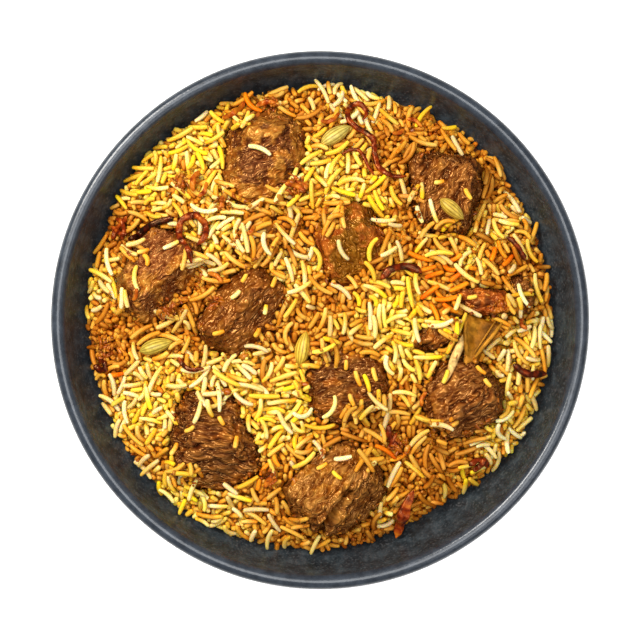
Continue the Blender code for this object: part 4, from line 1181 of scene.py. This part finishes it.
handLaid = [    # kind, x, y, degrees, length, curl
    ("white", -28.5, 81.5, -22, 12, -0.5), ("yellow", -40.5, 93, 28, 8, 0.1), ("yellow", -33.5, 97, 38, 6, 0.1),
    ("white", -13.5, 68, 60, 12, 0.3), ("yellow", -18, 62, 55, 14, -0.2), ("yellow", -12, 58, 48, 11, 0.2),
    ("white", -71, 36, 25, 9, 0.1), ("white", -88, 37, 20, 10, 0.3), ("golden", -83, 29, -70, 7, -0.9),
    ("golden", -84.5, 33, 15, 6, 0.1), ("yellow", -72, 5, 50, 8, 0.4),
    ("white", 10.5, 33, -62, 12, 0.5), ("yellow", 24.5, 34, 72, 13, -0.7), ("white", -10, 15, 25, 12, 0.3),
    ("golden", -22, 18, 70, 6, 0.1), ("golden", -36, 20, 60, 5, 0.1), ("yellow", -40, 12, 40, 6, 0.3),
    ("golden", -48, -6, 15, 6, 0.2), ("golden", -30, -6, 60, 5, 0.3), ("yellow", -26, 5, 80, 5, 0.1),
    ("golden", 18, -28, -70, 8, 0.2), ("yellow", 22.5, -30, -72, 9, -0.2), ("golden", 26, -26, -75, 7, 0.2),
    ("golden", 12.5, -21.5, 88, 5, 0.1), ("golden", 15, -38, -68, 8, 0.1), ("yellow", 2, -14, 20, 12, 0.4),
    ("white", 54, 52, -72, 12, 0.15), ("white", 47.5, 50.5, -72, 9, 0.2), ("golden", 70.5, 60, -60, 6, 0.2),
    ("golden", 57, 66, 10, 5, 0.3), ("golden", 75, 45, 80, 6, 0.2),
    ("white", -58, -44, 72, 11, 0.3), ("yellow", -52.5, -42, -75, 10, 0.3), ("golden", -62, -52, 30, 6, 0.4),
    ("golden", -47, -48, -60, 5, 0.2), ("golden", -40, -58, 80, 6, 0.1), ("golden", -70, -62, 60, 7, 0.3),
    ("golden", 1, -70, 30, 6, 0.2), ("yellow", 8, -74, -40, 6, 0.3), ("white", 11, -66, 10, 9, 0.2),
    ("golden", 77, -24, -40, 6, 0.3), ("golden", 80, -30, -50, 5, 0.2), ("yellow", 60, -27, 70, 7, 0.2),
    ("white", 66, 8.5, 72, 8, 0.15), ("yellow", 65.2, -3.5, 88, 10, 0.1), ("white", 57.5, -2, 12, 13, 0.55),
    ("white", 97.5, 11.5, -64, 13, 0.45), ("golden", 60.5, 4.5, 35, 6, 0.1), ("golden", 73, 11, 10, 5, 0.3),
    ("white", -8, -45, 12, 13, 1.1), ("white", -17, -49.5, -58, 13, 0.3), ("yellow", 5.5, -42, 62, 14, 0.8),
    ("white", 46, -5, -78, 12, 0.25), ("white", 32.5, -22, -70, 11, 0.9), ("white", 40.5, -35, -8, 12, -0.5),
    ("white", -56, 53, -12, 15, 0.7), ("white", -26, 36, -74, 12, 0.7), ("white", -103, 28, -76, 15, 0.5),
    ("yellow", -88, 20, -84, 14, 0.5), ("white", -60, -24, 5, 14, 0.4), ("yellow", -45, -28, -30, 15, 0.2),
    ("white", 33, 32.5, 30, 10, 0.2), ("white", 70, 22, -38, 15, 0.3), ("yellow", 57, 32, 4, 14, -0.4),
]
for kind, x, y, degrees, length, curl in handLaid:
    g = newGrain(x, y, kind, yaw=math.radians(degrees), length=float(length), curl=curl, deep=0.0, pale=1.0)
    laid.append(drop(g, *rest(g)))


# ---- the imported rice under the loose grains

def packedRice():    # rice soaked in gravy, seen in the gaps between the grains: its deep orange-brown is partly the gravy and partly painted shade of the gaps, lighter amber under the pale rice
    material, tree, shader = newMaterial("soakedAndShadedRiceBed")
    place = addNode(tree, "ShaderNodeTexCoord").outputs["Object"]
    under = addNode(tree, "ShaderNodeAttribute", attribute_name="pale").outputs["Fac"]
    cloud = addNode(tree, "ShaderNodeTexNoise", {"Vector": place, "Scale": 320.0, "Detail": 4.0})
    dark = ramp(tree, cloud.outputs["Fac"], [(0.35, "#6E2E03"), (0.5, "#985208"), (0.65, "#B87618")])
    amber = ramp(tree, cloud.outputs["Fac"], [(0.35, "#E0A220"), (0.5, "#EEBC3C"), (0.65, "#F2CE5C")])
    tree.links.new(blend(tree, under, dark, amber), shader.inputs["Base Color"])
    shader.inputs["Roughness"].default_value = 0.5
    return material


def riceBed(rings=46, around=150, lowRings=8):
    points, faces = [(0, 0, 0)], []
    for i in range(1, rings + lowRings + 1):
        for j in range(around):
            angle = math.tau * j / around
            edge = float(heapEdge(np.array(angle))) - 1.2
            radius = edge * (i / rings if i <= rings else 1 - (i - rings) / (lowRings + 1))
            x, y = radius * math.cos(angle), radius * math.sin(angle)
            low = float(bowlInside(np.array(radius))) + 0.35
            if i <= rings:
                z = max(float(bedTop[cellOf(x), cellOf(y)]), low + 0.3)
            else:
                z = low
            points.append((x, y, z))
    points[0] = (0, 0, float(bedTop[cellOf(0.0), cellOf(0.0)]))
    points.append((0, 0, float(bowlInside(np.array(0.0))) + 0.35))
    last = rings + lowRings
    for j in range(around):
        k = (j + 1) % around
        faces.append((0, 1 + j, 1 + k))
        faces.append((len(points) - 1, 1 + (last - 1) * around + k, 1 + (last - 1) * around + j))
        for i in range(last - 1):
            a, b = 1 + i * around, 1 + (i + 1) * around
            faces.append((a + j, b + j, b + k, a + k))
    piece = meshFrom("riceBed", points, faces, packedRice())
    places = np.array(points)
    storeValues(piece.data, "pale", pale[cellOf(places[:, 0]), cellOf(places[:, 1])])
    return closeUp(piece)


finishPiece(riceBed(), "rice", "rice_heap")
ricePieces = {}
for kind in kinds:
    chosen = [g for g in laid if g["kind"] == kind]
    piece = growGrains(kind, chosen)
    ricePieces[kind] = finishPiece(piece, "rice", "rice_heap")
    print(kind, len(chosen), "grains,", sum(len(f.vertices) - 2 for f in piece.data.polygons), "triangles")

# ---- crumbs of masala, between the grains and stuck to the meat

def crumbTree():    # a rough little lump on every point, turned and stretched by that point's own values
    tree = bpy.data.node_groups.new("masalaCrumbs", "GeometryNodeTree")
    groupInput(tree, "Geometry", "NodeSocketGeometry")
    ids = {"Roughness": groupInput(tree, "Roughness", "NodeSocketFloat", 0.5),
           "Finish": groupInput(tree, "Finish", "NodeSocketMaterial")}
    tree.interface.new_socket("Geometry", in_out="OUTPUT", socket_type="NodeSocketGeometry")
    given = addNode(tree, "NodeGroupInput")
    ball = addNode(tree, "GeometryNodeMeshIcoSphere", {"Radius": 1.0, "Subdivisions": 2})
    turn = addNode(tree, "GeometryNodeInputNamedAttribute", {"Name": "turn"}, data_type="FLOAT_VECTOR").outputs[0]
    size = addNode(tree, "GeometryNodeInputNamedAttribute", {"Name": "size"}, data_type="FLOAT_VECTOR").outputs[0]
    turned = addNode(tree, "FunctionNodeEulerToRotation", {0: turn}).outputs[0]
    many = addNode(tree, "GeometryNodeInstanceOnPoints", {"Points": given.outputs["Geometry"],
                                                          "Instance": ball.outputs[0], "Rotation": turned,
                                                          "Scale": size})
    real = addNode(tree, "GeometryNodeRealizeInstances", {"Geometry": many.outputs[0]})
    place = addNode(tree, "GeometryNodeInputPosition").outputs[0]
    rough = addNode(tree, "ShaderNodeTexNoise", {"Vector": place, "Scale": 620.0, "Detail": 1.0})
    centred = addNode(tree, "ShaderNodeVectorMath", {0: rough.outputs["Color"], 1: (0.5, 0.5, 0.5)},
                      operation="SUBTRACT").outputs[0]
    shift = addNode(tree, "ShaderNodeVectorMath", {0: centred, "Scale": given.outputs["Roughness"]},
                    operation="SCALE").outputs[0]
    moved = addNode(tree, "GeometryNodeSetPosition", {"Geometry": real.outputs[0], "Offset": shift})
    smooth = addNode(tree, "GeometryNodeSetShadeSmooth", {"Geometry": moved.outputs[0]})
    dressed = addNode(tree, "GeometryNodeSetMaterial", {"Geometry": smooth.outputs[0],
                                                        "Material": given.outputs["Finish"]})
    addNode(tree, "NodeGroupOutput", {"Geometry": dressed.outputs[0]})
    return tree, ids


def crumbFinish():    # onion and spice cooked down to a paste: wet, orange-brown to dark red-brown
    material, tree, shader = newMaterial("masalaCrumb")
    tint = addNode(tree, "ShaderNodeAttribute", attribute_name="tint").outputs["Color"]
    tree.links.new(tint, shader.inputs["Base Color"])
    shader.inputs["Roughness"].default_value = 0.3
    shader.inputs["Specular IOR Level"].default_value = 0.4
    return material


crumbTints = ("#B8741C", "#A4600E", "#C0822A", "#8A4A0C", "#A85C10", "#C88E34")
redTints = ("#A85A1A", "#8C460E", "#B87222", "#9C5410")
redSpots = (    # where the masala has gathered in red clumps: x, y, reach
    (-50.5, 8.5, 3.5), (-73, 5, 4.5), (-67.5, 66.5, 3.5), (-46, 56.5, 3.5), (-11, 64, 4.5), (-24, -77, 4),
    (38, -60, 4.5), (-24, 104, 4), (86, 6, 4), (-104, -14, 5),
)


def scatterCrumbs(count):
    chance = inHeap * (0.03 + 0.3 * dusky + 0.12 * np.minimum(2, around["saffron"]) + 0.3 * byMeat * ~onMeat)
    patchy = noiseAt(gridFlat, 7.0, 21)
    red = np.zeros_like(chance)
    for x, y, reach in redSpots:
        red = np.maximum(red, np.exp(-((gridX - x) ** 2 + (gridY - y) ** 2) / reach ** 2))
    rim = ~np.roll(onMeat, 7, 0) | ~np.roll(onMeat, -7, 0) | ~np.roll(onMeat, 7, 1) | ~np.roll(onMeat, -7, 1)
    chance = np.where(onMeat, 0.16 * rim, chance * (surface < target - 0.8)) * smoothStep(-0.25, 0.3, patchy)
    chance = chance + 0.8 * red * (red > 0.2)
    cells = rng.choice(chance.size, size=count, p=(chance / chance.sum()).ravel())
    points, turns, sizes, tints = [], [], [], []
    for cell in cells:
        i, j = np.unravel_index(cell, chance.shape)
        radius = float(np.clip(rng.lognormal(-0.2 + 0.2 * red[i, j], 0.34), 0.45, 1.7))
        points.append((fieldAxis[i] * mm, fieldAxis[j] * mm, (surface[i, j] + (0.1 - 0.4 * onMeat[i, j]) * radius) * mm))
        turns.append(rng.uniform(0, math.tau, 3))
        sizes.append(radius * rng.uniform((0.9, 0.5, 0.4), (2.2, 1.1, 0.8)) * mm)
        tones = redTints if rng.random() < red[i, j] else crumbTints
        tints.append(np.array(linear(tones[rng.integers(0, len(tones))])))
    mesh = bpy.data.meshes.new("crumbPoints")
    mesh.from_pydata(points, [], [])
    storeValues(mesh, "turn", turns)
    storeValues(mesh, "size", sizes)
    storeValues(mesh, "tint", tints)
    piece = bpy.data.objects.new("crumbPoints", mesh)
    bpy.context.scene.collection.objects.link(piece)
    crumbling = piece.modifiers.new("crumbling", "NODES")
    crumbling.node_group, ids = crumbTree()
    crumbling[ids["Roughness"]] = 1.1 * mm
    crumbling[ids["Finish"]] = crumbFinish()
    return finishPiece(settled(piece, "masalaCrumbs"), "rice", "rice_heap")


crumbs = scatterCrumbs(1300)
print("crumbs", len(crumbs.data.polygons), "faces")


# ---- fried onion strips

onions = {    # half width, how burnt, route in mm
    "onion_curl": (1.3, 0.35, ((20.8, 96.6), (22.6, 100.8), (20.2, 104.2), (16.6, 104.8), (13.6, 101.4), (14.2, 96.6),
                               (18.0, 92.8), (22.8, 90.2), (26.0, 86.3), (26.4, 80.9), (27.5, 75.5), (30.6, 71.4),
                               (35.7, 69.0), (41.4, 69.4))),
    "onion_thread": (0.75, 0.35, ((10.8, 79.6), (14.2, 82.4), (18.4, 81.6), (21.4, 78.0), (23.4, 73.6), (26.2, 69.6))),
    "onion_loop": (1.5, 0.3, ((-58.8, 35.4), (-55.6, 39.6), (-54.6, 44.2), (-57.2, 48.6), (-61.6, 50.2), (-65.8, 48.2),
                              (-67.8, 43.9), (-66.8, 39.2), (-63.4, 35.4), (-61.8, 31.4), (-60.8, 27.0))),
    "onion_char": (1.5, 1.0, ((-92.0, 38.6), (-88.4, 40.2), (-84.8, 43.9), (-79.6, 46.4), (-74.6, 48.0),
                               (-70.6, 48.6))),
    "onion_ribbon": (1.8, 0.6, ((29.4, 19.6), (32.6, 23.4), (38.6, 25.4), (44.4, 25.0), (48.7, 22.8))),
    "onion_husk": (2.8, 0.2, ((45.6, -83.0), (42.8, -89.0), (40.4, -96.0), (38.8, -102.4), (37.4, -107.4))),
    "onion_twist": (1.7, 0.7, ((93.6, -21.4), (97.2, -24.0), (101.4, -26.2), (106.2, -26.0), (110.6, -26.6))),
    "onion_hook": (0.95, 0.4, ((-67.6, -17.8), (-66.4, -21.2), (-62.8, -23.4), (-59.0, -23.8), (-55.6, -23.2))),
    "onion_sliver": (1.2, 0.6, ((90.8, 40.2), (94.2, 37.4), (97.4, 33.4), (99.4, 28.8))),
}
onionKnots = {    # how burnt, and half width and route of each strip
    "onion_knot_1": (0.15, ((1.25, ((-93.6, 50.4), (-96.6, 46.6), (-99.8, 43.6), (-101.6, 39.4))),
                            (1.1, ((-99.6, 49.6), (-96.4, 47.4), (-95.0, 43.2), (-96.6, 38.8))),
                            (1.0, ((-101.8, 45.8), (-98.0, 42.4), (-93.4, 41.4))))),
    "onion_knot_2": (0.7, ((1.4, ((-110.4, -22.0), (-107.2, -24.6), (-103.4, -23.2))),
                           (1.1, ((-108.2, -19.8), (-105.0, -21.2), (-104.2, -25.6))))),
    "onion_knot_3": (0.45, ((1.4, ((72.6, -70.8), (76.4, -68.2), (80.4, -69.2), (82.4, -72.2))),
                            (1.2, ((74.4, -73.0), (78.0, -71.4), (80.2, -67.4))))),
    "onion_knot_4": (0.35, ((1.3, ((33.2, -50.6), (33.0, -54.0), (34.4, -57.6), (37.2, -60.6))),
                            (0.9, ((36.6, -54.2), (35.4, -58.0), (33.2, -61.2))))),
}


def onionFinish(name, burnt):    # onion fried dark: glossy red-brown skin, amber where thin, near black where burnt
    material, tree, shader = newMaterial(name)
    place = addNode(tree, "ShaderNodeTexCoord").outputs["Object"]
    cloud = addNode(tree, "ShaderNodeTexNoise", {"Vector": place, "Scale": 300.0, "Detail": 4.0})
    shift = addNode(tree, "ShaderNodeMath", {0: cloud.outputs["Fac"], 1: burnt * 0.3}, operation="SUBTRACT").outputs[0]
    colour = ramp(tree, shift, [(0.12, "#1C0806"), (0.30, "#521808"), (0.44, "#86300C"), (0.58, "#B05A18"), (0.72, "#C47820")])
    tree.links.new(colour, shader.inputs["Base Color"])
    shader.inputs["Roughness"].default_value = 0.24
    shader.inputs["Specular IOR Level"].default_value = 0.6
    shader.inputs["Specular Tint"].default_value = linear("#FFC890")
    bump = addNode(tree, "ShaderNodeBump", {"Height": cloud.outputs["Fac"], "Strength": 0.6, "Distance": 0.0006})
    tree.links.new(bump.outputs[0], shader.inputs["Normal"])
    return material


def laidOn(route, half, lift=0.45):    # heights for a strip that sags over whatever it lies on
    heights = []
    for x, y in route:
        i, j = cellOf(x), cellOf(y)
        reach = int(half / field["cell"]) + 1
        heights.append(np.percentile(surface[i - reach:i + reach + 1, j - reach:j + reach + 1], 80))
    heights = np.array(heights)
    for _ in range(6):
        near = np.convolve(np.pad(heights, 1, mode="edge"), (0.25, 0.5, 0.25), mode="valid")
        heights = np.maximum(near, heights - 0.6)
    return np.column_stack([route, heights + half * lift])


def flake(route, half):    # a thin papery leaf, folded along the middle
    line = laidOn(through(route, 40), half, 0.5)
    share = np.linspace(0, 1, 40)
    widths = half * np.sin(math.pi * (0.04 + 0.92 * share)) ** 0.6 * (1 + 0.12 * np.sin(17 * share))
    def fold(along, turn):
        return 1 + 1.9 * np.exp(-((turn - math.pi / 2 + 0.35 * np.sin(5 * along)) / 0.3) ** 2)
    return tube(line, widths, sides=24, flat=0.24, ring=fold)


def strip(route, half, seed, flat=0.85, lift=0.45):    # folded strip: two swollen edges with a furrow between, uneven along its length
    count = max(16, int(np.linalg.norm(np.diff(route, axis=0), axis=1).sum() / 0.7))
    line = laidOn(through(route, count), half, lift)
    wander = np.array([(noiseAt(np.array([[i * 0.7, seed, 0.0]]), 3.0)[0], noiseAt(np.array([[i * 0.7, seed, 9.0]]), 4.0)[0])
                       for i in range(count)])
    line[:, :2] += wander * 0.5
    widths = half * (1 + 0.3 * wander[:, 0])
    def fold(share, turn):
        return 0.84 + 0.22 * np.cos(2 * turn) + 0.06 * np.sin(5 * turn + 20 * share)
    return tube(line, widths, sides=14, flat=flat, ring=fold)


for index, (name, (half, burnt, route)) in enumerate(onions.items()):
    title = "friedOnion_" + name[6:]
    shape = flake(route, half) if name == "onion_husk" else strip(route, half, index * 5.0, 0.85, 0.7)
    piece = meshFrom(title, *shape, onionFinish(title + "Skin", burnt))
    finishPiece(closeUp(piece), "onion", name)
for index, (name, (burnt, strips)) in enumerate(onionKnots.items()):
    parts = []
    for k, (half, route) in enumerate(strips):
        points, faces = strip(route, half, 40 + index * 7 + k)
        points[:, 2] += 0.9 * k
        parts.append((points, faces))
    title = "friedOnion_" + name[6:]
    piece = meshFrom(title, *joined(parts), onionFinish(title + "Skin", burnt))
    finishPiece(closeUp(piece), "onion", name)

shreds = (    # masala cooked down to soft orange-brown shreds: x, y, degrees, length, half width
    (-59.5, 67, 76, 10, 1.3), (-56.5, 63, 62, 8, 1.0), (-67.5, 66, -50, 5, 1.1), (-42, 102, 38, 13, 1.3),
    (-26, 104.5, 8, 9, 1.3), (5, 98, 25, 10, 1.0), (-12, 63, -22, 10, 1.3), (-9, 66.5, -42, 8, 1.0),
    (-46, 57, 75, 7, 1.1), (-33, 43, 60, 5, 1.0), (-50, 20, -35, 8, 1.2), (-88, 12, 70, 6, 1.0), (46, 96, -30, 8, 1.0),
    (38, 92, 20, 6, 1.0), (-24, -78, 50, 7, 1.2), (38, -60, -70, 8, 1.1), (50, -38, 75, 7, 1.0), (99, -2, -60, 6, 1.0),
)
parts = []
for index, (x, y, degrees, length, half) in enumerate(shreds):
    way = math.radians(degrees)
    bow = 0.16 * length * (-1) ** index
    route = [(x + t * length * math.cos(way) - (1 - 4 * t * t) * bow * math.sin(way),
              y + t * length * math.sin(way) + (1 - 4 * t * t) * bow * math.cos(way)) for t in (-0.5, -0.2, 0.15, 0.5)]
    parts.append(strip(route, half, 90 + index))
shredFinish = onionFinish("caramelisedShred", -0.35)
finishPiece(closeUp(meshFrom("masalaShreds", *joined(parts), shredFinish)), "rice", "rice_heap")
print("onions and shreds laid")


size = {"cad": cadBox, "visual": [list(corner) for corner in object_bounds()]}
